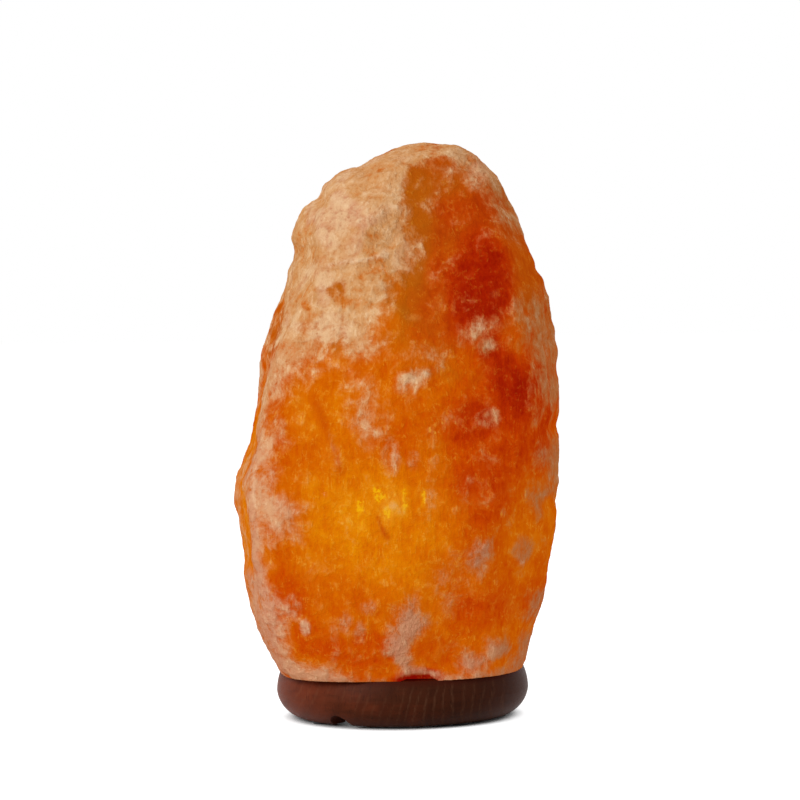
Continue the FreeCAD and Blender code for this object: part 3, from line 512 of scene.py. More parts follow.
@dataclass(frozen=True)
class MouldedPlastic:
    """Moulded plastic: fine mould texture, faint flow clouds, a browner tint where a bulb has warmed it."""

    name: str
    base: Colour
    warmed: Colour
    warm_over: Pair = (0.030, 0.062)
    gloss: float = 0.36

    def make(self) -> bpy.types.Material:
        """Puts the plastic together from its grain, clouds and warmth.

        Returns:
            The finished material.
        """
        b = Bench.of(self.name)
        here = b.place()
        grain = b.cloud(here, 0.35, 2.0, 0.5)
        clouds = b.cloud(b.place((1.0, 1.0, 0.5)), 9.0, 3.0, 0.5, 0.6)
        dust = b.cloud(here, 2.2, 4.0, 0.7)
        warmth = (b.split(here, "Z") + (clouds - 0.5) * 0.01).rise(*self.warm_over)
        tint = b.blend(self.base, self.warmed, warmth * 0.6)
        return b.surface({
            "Base Color": b.blend(tint, self.warmed, clouds.rise(0.45, 0.75) * 0.25),
            "Roughness": self.gloss + (dust - 0.5) * 0.18 + warmth * 0.06,
            "Specular IOR Level": 0.5,
            "Normal": b.relief(grain, 0.03, None, 0.5),
        })


@dataclass(frozen=True)
class Glazed:
    """Fired ceramic or glass-like filling with glaze over tiny pores."""

    name: str
    base: Colour
    fleck: Colour
    gloss: float = 0.18

    def make(self) -> bpy.types.Material:
        """Puts the glaze together from flecks and pores.

        Returns:
            The finished material.
        """
        b = Bench.of(self.name)
        here = b.place()
        clouds = b.cloud(here, 5.0, 4.0, 0.6)
        flecks = b.cells(here, 0.8).rise(0.05, 0.22, 1.0, 0.0) * clouds.rise(0.45, 0.6)
        return b.surface({
            "Base Color": b.blend(self.base, self.fleck, flecks * 0.6 + clouds.rise(0.5, 0.8) * 0.2),
            "Roughness": self.gloss + clouds * 0.12 + flecks * 0.3,
            "Coat Weight": 0.5 - flecks * 0.4,
            "Coat Roughness": 0.08,
            "Normal": b.relief(clouds * 0.5 - flecks, 0.06, None, 0.6),
        })


@dataclass(frozen=True)
class ClearGlass:
    """Thin blown glass with finger haze and faint drawn streaks."""

    tint: Colour = (0.98, 0.985, 0.98)
    bend: float = 1.5

    def make(self) -> bpy.types.Material:
        """Puts the glass together from haze and streaks.

        Returns:
            The finished material.
        """
        b = Bench.of("bulb_glass")
        haze = b.cloud(b.place(), 7.0, 4.0, 0.6, 0.4)
        drawn = b.cloud(b.place((1.0, 1.0, 0.15)), 2.0, 2.0, 0.5)
        return b.surface({
            "Base Color": self.tint,
            "Roughness": 0.015 + haze.rise(0.55, 0.85) * 0.06,
            "Transmission Weight": 1.0,
            "IOR": self.bend,
            "Normal": b.relief(drawn, 0.02, None, 0.3),
        })


@dataclass(frozen=True)
class HotWire:
    """The coiled tungsten wire, white hot along its turns."""

    metal: Colour = seen(70, 66, 62)
    hot: Colour = seen(255, 214, 140)
    cooler: Colour = seen(255, 168, 70)
    strength: float = 14.0

    def make(self) -> bpy.types.Material:
        """Puts the glowing wire together.

        Returns:
            The finished material.
        """
        b = Bench.of("filament")
        turns = b.cloud(b.place(), 0.6, 2.0, 0.5)
        return b.surface({
            "Base Color": self.metal,
            "Metallic": 1.0,
            "Roughness": 0.4 + turns * 0.2,
            "Emission Color": b.blend(self.hot, self.cooler, turns.rise(0.4, 0.7)),
            "Emission Strength": self.strength,
        })


Finish = RockSalt | Walnut | Felt | Metal | MouldedPlastic | Glazed | ClearGlass | HotWire


# ---------------------------------------------------------------- shapes in space


class Seed(IntEnum):
    """The seeds of the block's unevenness; WARP and STIR count on by one for each axis."""

    DRIFT = 5
    PATCHES = 11
    DENSITY = 23
    CRACKS = 31
    CRACK_PLACES = 37
    WARP = 41
    SWELLS = 51
    SCOOPS = 61
    NICKS = 67
    FINE = 71
    STIR = 81
    BROKEN = 91


# Large primes that scatter the lattice's numbers, and how many of their bits are kept.
STRIDE = 7919
ACROSS, ALONG, UP, BY_SEED, STIRRER = 73856093, 19349663, 83492791, 2654435761, 1274126177
MIXED_BITS = 0x7FFFFFFF
KEPT_BITS = 0xFFFFF


@dataclass(frozen=True)
class Lattice:
    """Repeatable unevenness in space, from seeded swells and a seeded lattice."""

    seed: int
    swells: int = 16

    def _drawn(self, cells: np.ndarray, channel: int = 0) -> np.ndarray:
        """A value from 0 to 1 for each lattice cell.

        Args:
            cells: Whole-numbered cells, three to a row.
            channel: Which of several values of a cell is wanted.

        Returns:
            One value for each row.
        """
        x, y, z = cells.astype(np.int64).T
        mixed = x * ACROSS ^ y * ALONG ^ z * UP ^ (self.seed + channel * STRIDE) * BY_SEED
        mixed = (mixed ^ (mixed >> 13)) * STIRRER & MIXED_BITS
        return ((mixed ^ (mixed >> 16)) & KEPT_BITS) / float(KEPT_BITS)

    def smooth(self, points: np.ndarray, wave: float) -> np.ndarray:
        """Soft unevenness from 0 to 1 at each point.

        Args:
            points: Places in millimetres, three to a row.
            wave: The size of a swell in millimetres.

        Returns:
            One value for each point.
        """
        rolled = np.random.default_rng(self.seed * STRIDE + int(wave * 100.0))
        turns = rolled.normal(size=(self.swells, 3))
        lengths = np.linalg.norm(turns, axis=1)[:, None]
        turns *= (2.0 * math.pi / (1.7 * wave)) * rolled.uniform(0.65, 1.35, (self.swells, 1)) / lengths
        waves = np.cos(points @ turns.T + rolled.uniform(0.0, 2.0 * math.pi, self.swells)).sum(axis=1)
        return np.clip(0.5 + waves * (0.21 / math.sqrt(self.swells / 2.0)), 0.0, 1.0)

    def layered(self, points: np.ndarray, wave: float, layers: int = 4, fade: float = 0.5) -> np.ndarray:
        """Soft unevenness about 0 with finer layers on it, from -0.5 to 0.5.

        Args:
            points: Places in millimetres, three to a row.
            wave: The size of the largest swells.
            layers: How many layers there are.
            fade: How much weaker each next layer is.

        Returns:
            One value for each point.
        """
        total, weight = np.zeros(len(points)), 0.0
        for layer in range(layers):
            total += self.smooth(points, wave / 1.93**layer) * fade**layer
            weight += fade**layer
        return total / weight - 0.5

    def scoops(self, points: np.ndarray, wave: float) -> np.ndarray:
        """Struck scoops that meet in ridges: 0 deep in a scoop, about 1 on a ridge.

        Args:
            points: Places in millimetres, three to a row.
            wave: The size of a scoop.

        Returns:
            One value for each point.
        """
        scaled = points / wave
        low = np.floor(scaled)
        nearest = np.full(len(points), math.inf)
        for step in np.ndindex(3, 3, 3):
            cell = low + np.array(step) - 1.0
            jitter = np.stack([self._drawn(cell, channel) for channel in (1, 2, 3)], axis=1)
            nearest = np.minimum(nearest, np.linalg.norm(cell + jitter - scaled, axis=1))
        return np.clip(nearest, 0.0, 1.2)


def stirred(points: np.ndarray, seed: int, wave: float, reach: float) -> np.ndarray:
    """Points pushed about by soft swells of a size, so that what is laid on them loses its evenness."""
    push = [Lattice(seed + axis).layered(points, wave, 2) for axis in range(3)]
    return points + np.stack(push, axis=1) * reach


def ramp(values: np.ndarray, low: float, high: float) -> np.ndarray:
    """A straight rise from 0 at low to 1 at high."""
    return np.clip((values - low) / (high - low), 0.0, 1.0)


def eased(share: np.ndarray) -> np.ndarray:
    """A share from 0 to 1, with a soft start and end."""
    return share * share * (3.0 - 2.0 * share)


def gap_to(course: Sequence[Pair], flat: np.ndarray) -> np.ndarray:
    """How far points lie from a line of straight runs.

    Args:
        course: The points that the line runs through.
        flat: Points across and up the front, two to a row.

    Returns:
        One distance for each point.
    """
    gap = np.full(len(flat), math.inf)
    for start, end in zip(course, course[1:]):
        run, away = np.subtract(end, start), flat - start
        share = np.clip(away @ run / (run @ run), 0.0, 1.0)
        gap = np.minimum(gap, np.hypot(*(away - share[:, None] * run).T))
    return gap


@dataclass(frozen=True)
class Field:
    """A field of crust on the front: its outline across and up in millimetres, strength and soft edge."""

    outline: tuple[Pair, ...]
    strength: float = 1.0
    soft: float = 5.0

    def at(self, flat: np.ndarray) -> np.ndarray:
        """How much of the field lies at each point, half of its strength on the outline.

        Args:
            flat: Points across and up the front, two to a row.

        Returns:
            The amount, from a little under 0 far outside to the field's strength.
        """
        across, up = flat.T
        course = (*self.outline, self.outline[0])
        inside = np.zeros(len(flat), dtype=bool)
        for (x0, z0), (x1, z1) in zip(course, course[1:]):
            if z1 != z0:
                inside ^= ((z0 > up) != (z1 > up)) & (across < (x1 - x0) * (up - z0) / (z1 - z0) + x0)
        gap = gap_to(course, flat)
        return self.strength * np.clip(0.5 + np.where(inside, gap, -gap) / (2.0 * self.soft), -0.3, 1.0)


@dataclass(frozen=True)
class Spot:
    """A soft round or oval spot on the front, in millimetres, with its lean in degrees."""

    across: float
    up: float
    width: float
    height: float
    amount: float = 1.0
    lean: float = 0.0

    def at(self, flat: np.ndarray) -> np.ndarray:
        """How much of the spot lies at each point: all of it in the middle, half on the rim.

        Args:
            flat: Points across and up the front, two to a row.

        Returns:
            The amount.
        """
        turn = math.radians(self.lean)
        dx, dz = (flat - (self.across, self.up)).T
        along = (dx * math.cos(turn) + dz * math.sin(turn)) / self.width
        aside = (dz * math.cos(turn) - dx * math.sin(turn)) / self.height
        return self.amount * eased(np.clip(1.5 - np.hypot(along, aside), 0.0, 1.0))


@dataclass(frozen=True)
class Trace:
    """A line on the front, such as a crack or a ridge: the points it runs through, and its width."""

    course: tuple[Pair, ...]
    width: float = 1.0
    amount: float = 1.0

    def at(self, flat: np.ndarray) -> np.ndarray:
        """How much of the line lies at each point of the front, from 0 to its own amount."""
        return self.amount * np.exp(-((gap_to(self.course, flat) / self.width) ** 2))


def spots(*rows: tuple[float, ...]) -> tuple[Spot, ...]:
    """Spots from rows of their places, sizes, amounts and leans."""
    return tuple(Spot(*row) for row in rows)


def traces(*rows: tuple[tuple[Pair, ...], float, float]) -> tuple[Trace, ...]:
    """Traces from rows of their courses, widths and amounts."""
    return tuple(Trace(*row) for row in rows)


def strongest(marks: Sequence[Field | Spot | Trace], flat: np.ndarray, least: float) -> np.ndarray:
    """The strongest of several marks at each point of the front, and at least a given amount."""
    return np.maximum.reduce([np.full(len(flat), least), *(mark.at(flat) for mark in marks)])


# The left edge of the front, where it turns into the flank, and the fields and marks of the front.
LEFT_ARRIS: tuple[Pair, ...] = (
    (-45, 208), (-46, 199), (-48, 189), (-47, 178), (-48, 166), (-51, 157), (-54, 148), (-56, 140),
    (-58, 128), (-59, 117), (-61, 107), (-61, 90), (-60, 73),
)
UPPER_LEFT = Field((
    (-58, 196), (-57, 215), (-50, 229), (-37, 243), (-23, 249), (-9, 256), (3, 260), (14, 260), (20, 252),
    (18, 243), (14, 238), (11, 234), (15, 228), (14, 223), (10, 223), (5, 221), (5, 214), (9, 206),
    (7, 199), (5, 194), (0, 191), (-5, 180), (-8, 171), (-7, 166), (-9, 162), (-14, 161), (-19, 159),
    (-25, 163), (-29, 162), (-33, 158), (-39, 157), (-45, 154), (-48, 148), (-53, 138), (-60, 133),
    (-58, 153), (-54, 170), (-50, 187),
), 1.08, 7)
CROWN_RIGHT = Field((
    (18, 262), (30, 260), (42, 254), (51, 247), (58, 240), (63, 230), (66, 220), (67, 210), (60, 204),
    (50, 211), (46, 216), (43, 223), (39, 227), (34, 230), (29, 234), (24, 236), (19, 237), (14, 240),
    (16, 246),
), 0.85, 6)
RIGHT_EDGE_UPPER = Field((
    (60, 184), (72, 192), (78, 176), (80, 169), (82, 151), (82, 132), (61, 133), (60, 143), (58, 151),
    (56, 160), (52, 166), (54, 175), (49, 179), (51, 181),
), 0.64, 6)
CRUST_CHIP = Field(((33, 162), (36, 166), (41, 166), (42, 161), (38, 158), (34, 158)), 0.9, 3)
CURLS = Field((
    (0, 149), (5, 153), (10, 152), (17, 155), (18, 153), (11, 148), (3, 144), (0, 145),
), 0.85, 3.5)
CENTRE_TOP = Field((
    (-14, 150), (-10, 148), (-8, 143), (-9, 136), (-11, 129), (-14, 126), (-20, 129), (-20, 136),
    (-21, 140), (-16, 145),
), 0.68, 4.5)
LEFT_STRIP = Field((
    (-64, 120), (-58, 126), (-52, 135), (-49, 129), (-48, 123), (-52, 119), (-52, 109), (-54, 102),
    (-49, 100), (-42, 96), (-40, 88), (-41, 82), (-49, 83), (-55, 80), (-60, 82), (-64, 90), (-68, 98),
    (-72, 108),
), 0.7, 5)
LEFT_FOOT = Field((
    (-66, 67), (-56, 64), (-50, 56), (-50, 46), (-50, 36), (-46, 28), (-34, 25.5), (-24, 23), (-12, 22),
    (-24, 19), (-40, 19), (-52, 20), (-60, 26), (-65, 34),
), 1, 5)
CENTRE_FOOT = Field((
    (6, 58), (7, 52), (13, 45), (10, 41), (6, 39), (3, 33), (6, 28), (16, 25), (15, 20), (1, 20), (-6, 29),
    (-7, 39), (-3, 46), (-2, 52), (2, 54),
), 0.95, 4.5)
RIGHT_FOOT = Field((
    (22, 27), (27, 32), (36, 32), (37, 37), (45, 38), (49, 32), (47, 28), (40, 28), (36, 24), (27, 22),
), 0.8, 4)
RIGHT_HEEL = Field(((52, 37), (60, 34), (58, 26), (54, 19), (42, 20), (47, 26)), 0.8, 4.5)
RIGHT_PATCH = Field(((27, 73), (32, 79), (38, 80), (39, 76), (36, 72), (33, 66), (29, 69)), 0.95, 4.5)
RIGHT_EDGE_MIDDLE = Field((
    (60, 117), (65, 122), (82, 120), (82, 104), (80, 92), (64, 94), (62, 89), (59, 85), (58, 91), (56, 98),
    (58, 101), (64, 103), (61, 111),
), 0.66, 4.5)
RIGHT_EDGE_LOWER = Field(((53, 53), (58, 57), (76, 58), (76, 44), (66, 34), (54, 45)), 0.68, 4.5)
FOOT_RIM = Field((
    (-60, 26), (-40, 24.5), (-12, 23.5), (12, 23), (30, 23.5), (54, 25), (54, 18), (-60, 18),
), 0.72, 4)
MID_HAZE = Field(((4, 158), (12, 164), (24, 163), (22, 155), (10, 153)), 0.28, 5)
RIGHT_HAZE = Field(((26, 169), (34, 173), (43, 175), (46, 171), (37, 166), (33, 163), (27, 164)), 0.55, 5)
LEFT_HAZE = Field((
    (-39, 159), (-27, 157), (-18, 154), (-14, 149), (-22, 145), (-31, 148), (-41, 148), (-48, 148),
), 0.38, 6)
LEFT_FLANK = Field((
    (-48, 190), (-47, 182), (-48, 172), (-51, 161), (-54, 151), (-56, 140), (-59, 130), (-62, 121),
    (-70, 120), (-72, 139), (-66, 165), (-58, 187),
), 0.4, 5)
LEFT_BULGE = Field((
    (-82, 122), (-68, 122), (-65, 111), (-66, 98), (-66, 81), (-65, 63), (-62, 48), (-60, 30), (-80, 30),
), 0.5, 4)
FRONT_FIELDS: tuple[Field, ...] = (
    UPPER_LEFT, CROWN_RIGHT, RIGHT_EDGE_UPPER, CRUST_CHIP, CURLS, CENTRE_TOP, LEFT_STRIP, LEFT_FOOT,
    CENTRE_FOOT, RIGHT_FOOT, RIGHT_HEEL, RIGHT_PATCH, RIGHT_EDGE_MIDDLE, RIGHT_EDGE_LOWER, FOOT_RIM,
    MID_HAZE, RIGHT_HAZE, LEFT_HAZE, LEFT_BULGE,
)
FRONT_SPOTS = spots(
    (-3.7, 117.5, 4.6, 8, 0.5), (5.7, 115.3, 3, 4.8, 0.5), (52.1, 74.6, 4.6, 6.4, 0.55),
    (38.7, 131.5, 5.6, 4, 0.45), (-23.8, 47.1, 3.2, 4.6, 0.5), (-17.5, 42.8, 2.8, 5, 0.55),
    (-14.2, 53.5, 4.2, 3.4, 0.5), (-40.7, 44.9, 2.6, 3.4, 0.6), (-50.7, 129, 4, 6.6, 0.6),
    (-11, 132, 8, 13, 0.34), (-28, 40, 2.4, 10, 0.32), (22.2, 211.5, 4, 3.6, 0.14), (12, 98, 5, 9, 0.18),
    (22, 62, 9, 16, 0.3), (27, 104, 4, 6, 0.34), (-46, 54, 5, 6, 0.55), (-55, 108, 4, 8, 0.6),
)
CRUST_TRACES = traces(
    ((*LEFT_ARRIS, (-59, 56)), 3, 0.95),
)
CLEAR_FIELDS: tuple[Field, ...] = (LEFT_FLANK,)
CLEAR_SPOTS = spots(
    (10, 230, 10, 8, 0.8, 62), (21.7, 241, 4.2, 2.4, 0.8), (-26, 186.8, 4, 3.6, 0.6),
    (-22.8, 181.5, 3.4, 2.6, 0.5), (-4.7, 191.8, 3.2, 1.8, 0.5), (-37.8, 180.5, 2.2, 2.2, 0.5),
    (-9.4, 28.4, 7, 3.6, 1), (14, 33.9, 9, 6.6, 1), (-28.6, 148.9, 6.5, 3.6, 0.6),
    (64.6, 88.4, 2.7, 6.4, 0.8), (-38, 200, 7, 2.4, 0.3), (-32, 170, 11, 9, 0.36), (-9, 173, 6, 8, 0.32),
    # (7.2, 21.6): the chip at the foot, bared of crust so that its painted shade shows.
    (7.2, 21.6, 8, 2.2, 1),
)
# Spots on the front that raise or lower the painted glow.
GLOW_SPOTS = spots(
    (-12, 86, 25, 29, 0.09, 6), (-9.6, 102.4, 1.5, 2.4, 0.42), (-8, 99.4, 1.8, 1.7, 0.4),
    (-16.6, 96.5, 1.3, 2.4, 0.26), (-5.2, 93.4, 1.2, 2.2, 0.3), (2.3, 98.6, 1.2, 5.2, 0.2),
    (10, 99, 1, 4, 0.26), (-20, 88, 8, 12, 0.06), (-42, 96, 14, 18, 0.09), (24, 80, 14, 12, 0.06),
    (-26, 140, 22, 17, 0.1), (36, 130, 24, 9, -0.05), (-40, 80, 13, 12, 0.06), (-72, 100, 16, 70, 0.2),
    (-24, 196, 30, 34, 0.26), (8, 212, 8, 26, 0.12), (14, 203, 6, 10, -0.06), (-37, 40, 9, 8, -0.08),
    (18, 180, 13, 18, -0.12), (60, 135, 10, 26, -0.16), (38, 124, 15, 32, -0.13), (32, 62, 18, 16, -0.08),
    (-34, 60, 18, 14, -0.02), (33.8, 94.6, 13, 18, -0.12), (36.6, 188, 13, 19, -0.24),
    (29.8, 217.7, 12, 13, -0.03), (16, 238, 28, 13, 0.12), (46, 150, 8, 15, -0.26, 20),
    (32, 172, 12, 12, -0.08), (30, 131, 13, 9, -0.11), (46, 112, 14, 14, -0.05), (54, 60, 13, 20, -0.06),
    (-14, 72, 13, 9, 0.05), (34.4, 49.4, 16, 9, -0.12), (-15.6, 34.1, 17, 7.5, -0.14),
    # (7, 21.5): painted shade in the chip at the foot, where salt meets wood, as a deep red glow.
    (11, 185, 7, 22, -0.04), (7, 21.5, 9, 4, -0.9), (14, 33.9, 9, 6.6, -0.14),
)
FRONT_CRACKS = traces(
    (((-34, 138.5), (-31.5, 131), (-29.9, 127), (-27.4, 121), (-25.8, 115.6), (-24.6, 111)), 1.9, 0.5),
    (((-9.4, 91.6), (-8.4, 88.6), (-7.4, 86.4)), 0.9, 0.7),
    (((-7.4, 86.2), (-6, 83.6), (-5.2, 83)), 1.5, 0.85),
    (((46.4, 115), (47.3, 113.9)), 0.8, 1),
    (((39.8, 140.9), (41.2, 140.1)), 1.3, 0.9),
)
# Painted sheen on the front: highlights along the crust's ridges and small bright flecks.
SHEEN_MARKS = spots(
    (6.7, 174.8, 3, 1.3, 0.8, -8), (43.7, 214.3, 1.1, 2.6, 0.5), (24.1, 178.7, 0.8, 3.2, 0.7),
    (41.8, 184.1, 2.1, 1.6, 0.4), (-4.5, 201.8, 2.1, 2.1, 0.7), (-31.3, 100.9, 1, 1, 0.7),
    (-45.1, 99.9, 1, 1.6, 0.5), (6.7, 115.3, 1, 2.1, 0.6), (13, 112, 0.9, 2.6, 0.5),
    (11.2, 62.4, 1.5, 1.2, 0.6), (51, 69.2, 1.6, 1.2, 0.7), (19.1, 219, 2.1, 1.1, 0.5),
    (-18.5, 39, 1.6, 1.2, 0.9), (36, 171, 5, 2.6, 0.5), (39, 162.5, 2.2, 2, 0.5),
) + traces(
    (((-28, 197), (-20, 198.5), (-13, 199), (-3, 202)), 0.9, 0.8),
    (((-15, 215), (-9, 217), (-2, 221), (4, 222)), 1.2, 0.6),
    (((-27, 227), (-22, 223), (-16, 220), (-10, 224), (-13, 228)), 0.9, 0.5),
    (((-30, 158), (-24, 155), (-18, 151), (-16, 147.5)), 0.9, 0.6),
    (((2, 146), (8, 150), (15, 153), (18, 154.5)), 1, 0.6),
    (((-60, 112), (-61, 104), (-60, 96)), 0.8, 0.5),
)
RIDGES = traces(
    (LEFT_ARRIS, 3.2, 1.3),
    ((
        (-49, 190), (-50, 172), (-55, 155), (-61, 138), (-64, 120), (-67, 107), (-68, 90), (-66, 70),
    ), 3.4, -1.2),
    (((-28, 197), (-20, 199), (-13, 199.5), (-3, 202.5), (2, 205)), 2.2, 0.9),
    (((-30, 193.5), (-14, 195.5), (0, 198)), 2.4, -0.8),
    (((-15, 215), (-9, 217), (-2, 221), (4, 222)), 2, 0.9),
    (((2, 193), (2, 180), (1, 164)), 1.8, 0.7),
    (((5, 193), (5, 180), (4, 165)), 2.2, -0.7),
    (((40, 160), (37, 152), (33, 145)), 2.6, -0.9),
    (((0, 149), (5, 153), (12, 153.5), (18, 155)), 1.8, 0.8),
    (((-40, 232), (-36, 229), (-32, 225)), 4.4, -1.3),
    (((-17, 244), (-15, 240), (-12, 234)), 4.4, -1.2),
    (((-44, 212), (-43, 218), (-40, 223)), 5, 1),
    (((-30, 233), (-24, 237), (-19, 238)), 5, 1),
    (((-52, 204), (-47, 203), (-42, 204)), 3.4, -1.3),
    (((52, 232), (50, 226), (47, 222)), 3.6, -1),
    (((64, 196), (59, 193), (54, 192)), 3, -1.3),
    (((74, 165), (68, 163), (62, 163)), 3, -1.2),
    (((76, 124), (70, 125), (64, 127)), 3, -1.2),
    (((76, 92), (70, 93), (64, 94)), 3, -1.2),
)


# ---------------------------------------------------------------- sub-assemblies


def placed(thing: bpy.types.Object) -> bpy.types.Object:
    """Puts a new object into the scene and gives it back."""
    bpy.context.scene.collection.objects.link(thing)
    return thing


def read(owner: Any, name: str, width: int, kind: type = float) -> np.ndarray:
    """Reads one property of a mesh's points or edges.

    Args:
        owner: The points or the edges.
        name: The property's name.
        width: How many numbers it has.
        kind: The kind of its numbers.

    Returns:
        Its values, one row for each point or edge.
    """
    values = np.zeros(len(owner) * width, dtype=kind)
    owner.foreach_get(name, values)
    return values.reshape(-1, width)


def write(mesh: bpy.types.Mesh, places: np.ndarray) -> None:
    """Moves a mesh's points to new places, given in millimetres."""
    mesh.vertices.foreach_set("co", (places * MM).ravel())
    mesh.update()


@dataclass(frozen=True)
class Skin:
    """The block's skin: its points in millimetres, and how far each of them belongs to the front."""

    places: np.ndarray
    front: np.ndarray

    @property
    def flat(self) -> np.ndarray:
        """The points across and up the front, two to a row."""
        return self.places[:, ::2]

    def joined(self, drawn: np.ndarray, grown: np.ndarray) -> np.ndarray:
        """What is drawn on the front together with what has grown by itself elsewhere."""
        return drawn * self.front + grown * (1.0 - self.front)


@dataclass
class SaltCrystal:
    """The hewn block: a fine skin over the block's solid, struck into scoops, with maps for its finish.

    All lengths are in millimetres. A pair of numbers is a run from the first, where something begins, to the
    second, where it is full.
    """

    node: str = "salt_crystal"
    body: str = "crystal_on_base"
    weld: float = 0.02
    grain: float = 1.0
    rounding: int = 9
    easing: float = 0.6
    off_bore: Pair = (27.0, 30.0)
    over_bore: Pair = (125.0, 130.0)
    off_seat: Pair = (21.6, 23.6)
    front_depth: Pair = (16.0, 4.0)
    front_facing: Pair = (-0.10, 0.10)
    scoop: float = 10.5
    scoop_depth: float = 1.35
    nick: float = 4.3
    nick_depth: float = 0.50
    mid_scoop: float = 0.55
    swell_depth: float = 1.3
    fine_depth: float = 0.40
    crust_roughness: float = 0.35
    crust_lift: float = 0.55
    mid_crust: float = 0.45
    bare: float = -0.25
    thickest: float = 0.95
    patch: float = 44.0
    crown: Pair = (215.0, 240.0)
    rim: Pair = (34.0, 22.0)
    bulb: Point = (0.0, 0.0, 84.0)
    bulb_spread: Point = (1.0, 1.0, 0.72)
    bright_reach: float = 55.0
    brightest: float = 0.75
    dimming: float = 0.0062
    glare: float = 0.2
    speck: float = 5.0
    crack_width: float = 0.012
    finish: RockSalt = field(default_factory=RockSalt)

    def skin(self) -> bpy.types.Object:
        """Covers the block's solid with an even fine mesh.

        Returns:
            The new piece, still smooth.
        """
        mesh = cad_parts[self.node].data.copy()
        joined = bmesh.new()
        joined.from_mesh(mesh)
        bmesh.ops.remove_doubles(joined, verts=joined.verts, dist=self.weld * MM)
        joined.to_mesh(mesh)
        joined.free()
        rough = placed(bpy.data.objects.new("crystal_rough", mesh))
        remesh = rough.modifiers.new("even", "REMESH")
        remesh.mode, remesh.voxel_size, remesh.use_smooth_shade = "VOXEL", self.grain * MM, True
        bpy.context.view_layer.update()
        even = bpy.data.meshes.new_from_object(rough.evaluated_get(bpy.context.evaluated_depsgraph_get()))
        bpy.data.objects.remove(rough)
        even.name = "crystal_skin"
        return placed(bpy.data.objects.new("crystal_block", even))

    def outside(self, places: np.ndarray) -> np.ndarray:
        """How freely each point of the skin may move, 0 to 1: none in the bore and on the seat."""
        out = ramp(np.hypot(places[:, 0], places[:, 1]), *self.off_bore)
        return np.maximum(out, ramp(places[:, 2], *self.over_bore)) * ramp(places[:, 2], *self.off_seat)

    def round_off(self, places: np.ndarray, edges: np.ndarray, free: np.ndarray) -> np.ndarray:
        """Eases the facets of the solid into a broken, rounded surface.

        Args:
            places: Points in millimetres.
            edges: Pairs of neighbouring points.
            free: How freely each point may move.

        Returns:
            The eased points.
        """
        count = np.bincount(edges.ravel(), minlength=len(places)).astype(float)[:, None]
        for _ in range(self.rounding):
            total = np.zeros_like(places)
            np.add.at(total, edges[:, 0], places[edges[:, 1]])
            np.add.at(total, edges[:, 1], places[edges[:, 0]])
            places = places + (total / count - places) * (self.easing * free)[:, None]
        return places

    def front(self, places: np.ndarray, forward: np.ndarray) -> np.ndarray:
        """How far each point belongs to the front, where the fields are drawn.

        Args:
            places: Points in millimetres.
            forward: How squarely the skin faces the front at each point, 1 full on and 0 side on.

        Returns:
            1 on the front, 0 on the sides and behind.
        """
        drift = Lattice(Seed.DRIFT).layered(places, 12.0, 3)
        near = ramp(places[:, 1] - drift * 16.0, *self.front_depth)
        return eased(near * ramp(forward + drift * 0.24, *self.front_facing))

    def crust(self, skin: Skin) -> np.ndarray:
        """How much crust covers each point, drawn on the front and grown by itself elsewhere.

        Args:
            skin: The block's skin.

        Returns:
            The amount, from a little under 0 to about 1.
        """
        drawn = strongest((*FRONT_FIELDS, *FRONT_SPOTS), skin.flat, self.bare)
        for mark in (*CLEAR_FIELDS, *CLEAR_SPOTS):
            drawn = drawn * (1.0 - np.clip(mark.at(skin.flat), 0.0, 1.0))
        drawn = np.maximum(drawn, strongest(CRUST_TRACES, skin.flat, self.bare))
        bent = stirred(skin.places, Seed.STIR, 30.0, 26.0) * (1.0, 1.0, 0.8)
        patches = Lattice(Seed.PATCHES).layered(bent, self.patch)
        ends = ramp(skin.places[:, 2], *self.crown) * 0.17 + ramp(skin.places[:, 2], *self.rim) * 0.14
        return skin.joined(drawn, np.clip(0.44 + (patches + ends) * 4.4, self.bare, self.thickest))

    def glow(self, skin: Skin) -> np.ndarray:
        """How brightly the painted glow shows at each point: by the bulb's distance, and by the salt's own
        density.

        Args:
            skin: The block's skin.

        Returns:
            The amount, 0 to about 1.
        """
        gap = np.linalg.norm((skin.places - self.bulb) * self.bulb_spread, axis=1)
        density = Lattice(Seed.DENSITY).layered(skin.places, 40.0, 3)
        amount = self.brightest - self.dimming * (gap - self.bright_reach)
        amount = amount + density * (0.42 - 0.30 * skin.front) - 0.06 * skin.front - 0.02
        broken = np.clip(Lattice(Seed.BROKEN).layered(skin.places, 2.4, 2) * 3.0 + 0.8, 0.0, 1.4)
        for spot in GLOW_SPOTS:
            amount = amount + spot.at(skin.flat) * skin.front * (broken if spot.width < self.speck else 1.0)
        over = self.brightest + self.glare * np.tanh((amount - self.brightest) / self.glare)
        return np.where(amount > self.brightest, over, np.maximum(amount, 0.0))

    def cracks(self, skin: Skin) -> np.ndarray:
        """How dark a crack shows at each point: the drawn ones in front, a few wandering ones elsewhere.

        Args:
            skin: The block's skin.

        Returns:
            The amount, 0 to 1.
        """
        wander = Lattice(Seed.CRACKS).layered(skin.places * (1.0, 1.0, 0.5), 34.0, 3)
        sparse = ramp(Lattice(Seed.CRACK_PLACES).layered(skin.places, 30.0, 2), 0.08, 0.205)
        grown = np.exp(-((wander / self.crack_width) ** 2)) * sparse * 0.35
        return skin.joined(strongest(FRONT_CRACKS, skin.flat, 0.0), grown)

    def frost(self, skin: Skin) -> np.ndarray:
        """How much painted sheen lies at each point, 0 to 1, on the front only: highlights on the crust's
        ridges and bright flecks.
        """
        return strongest(SHEEN_MARKS, skin.flat, 0.0) * skin.front

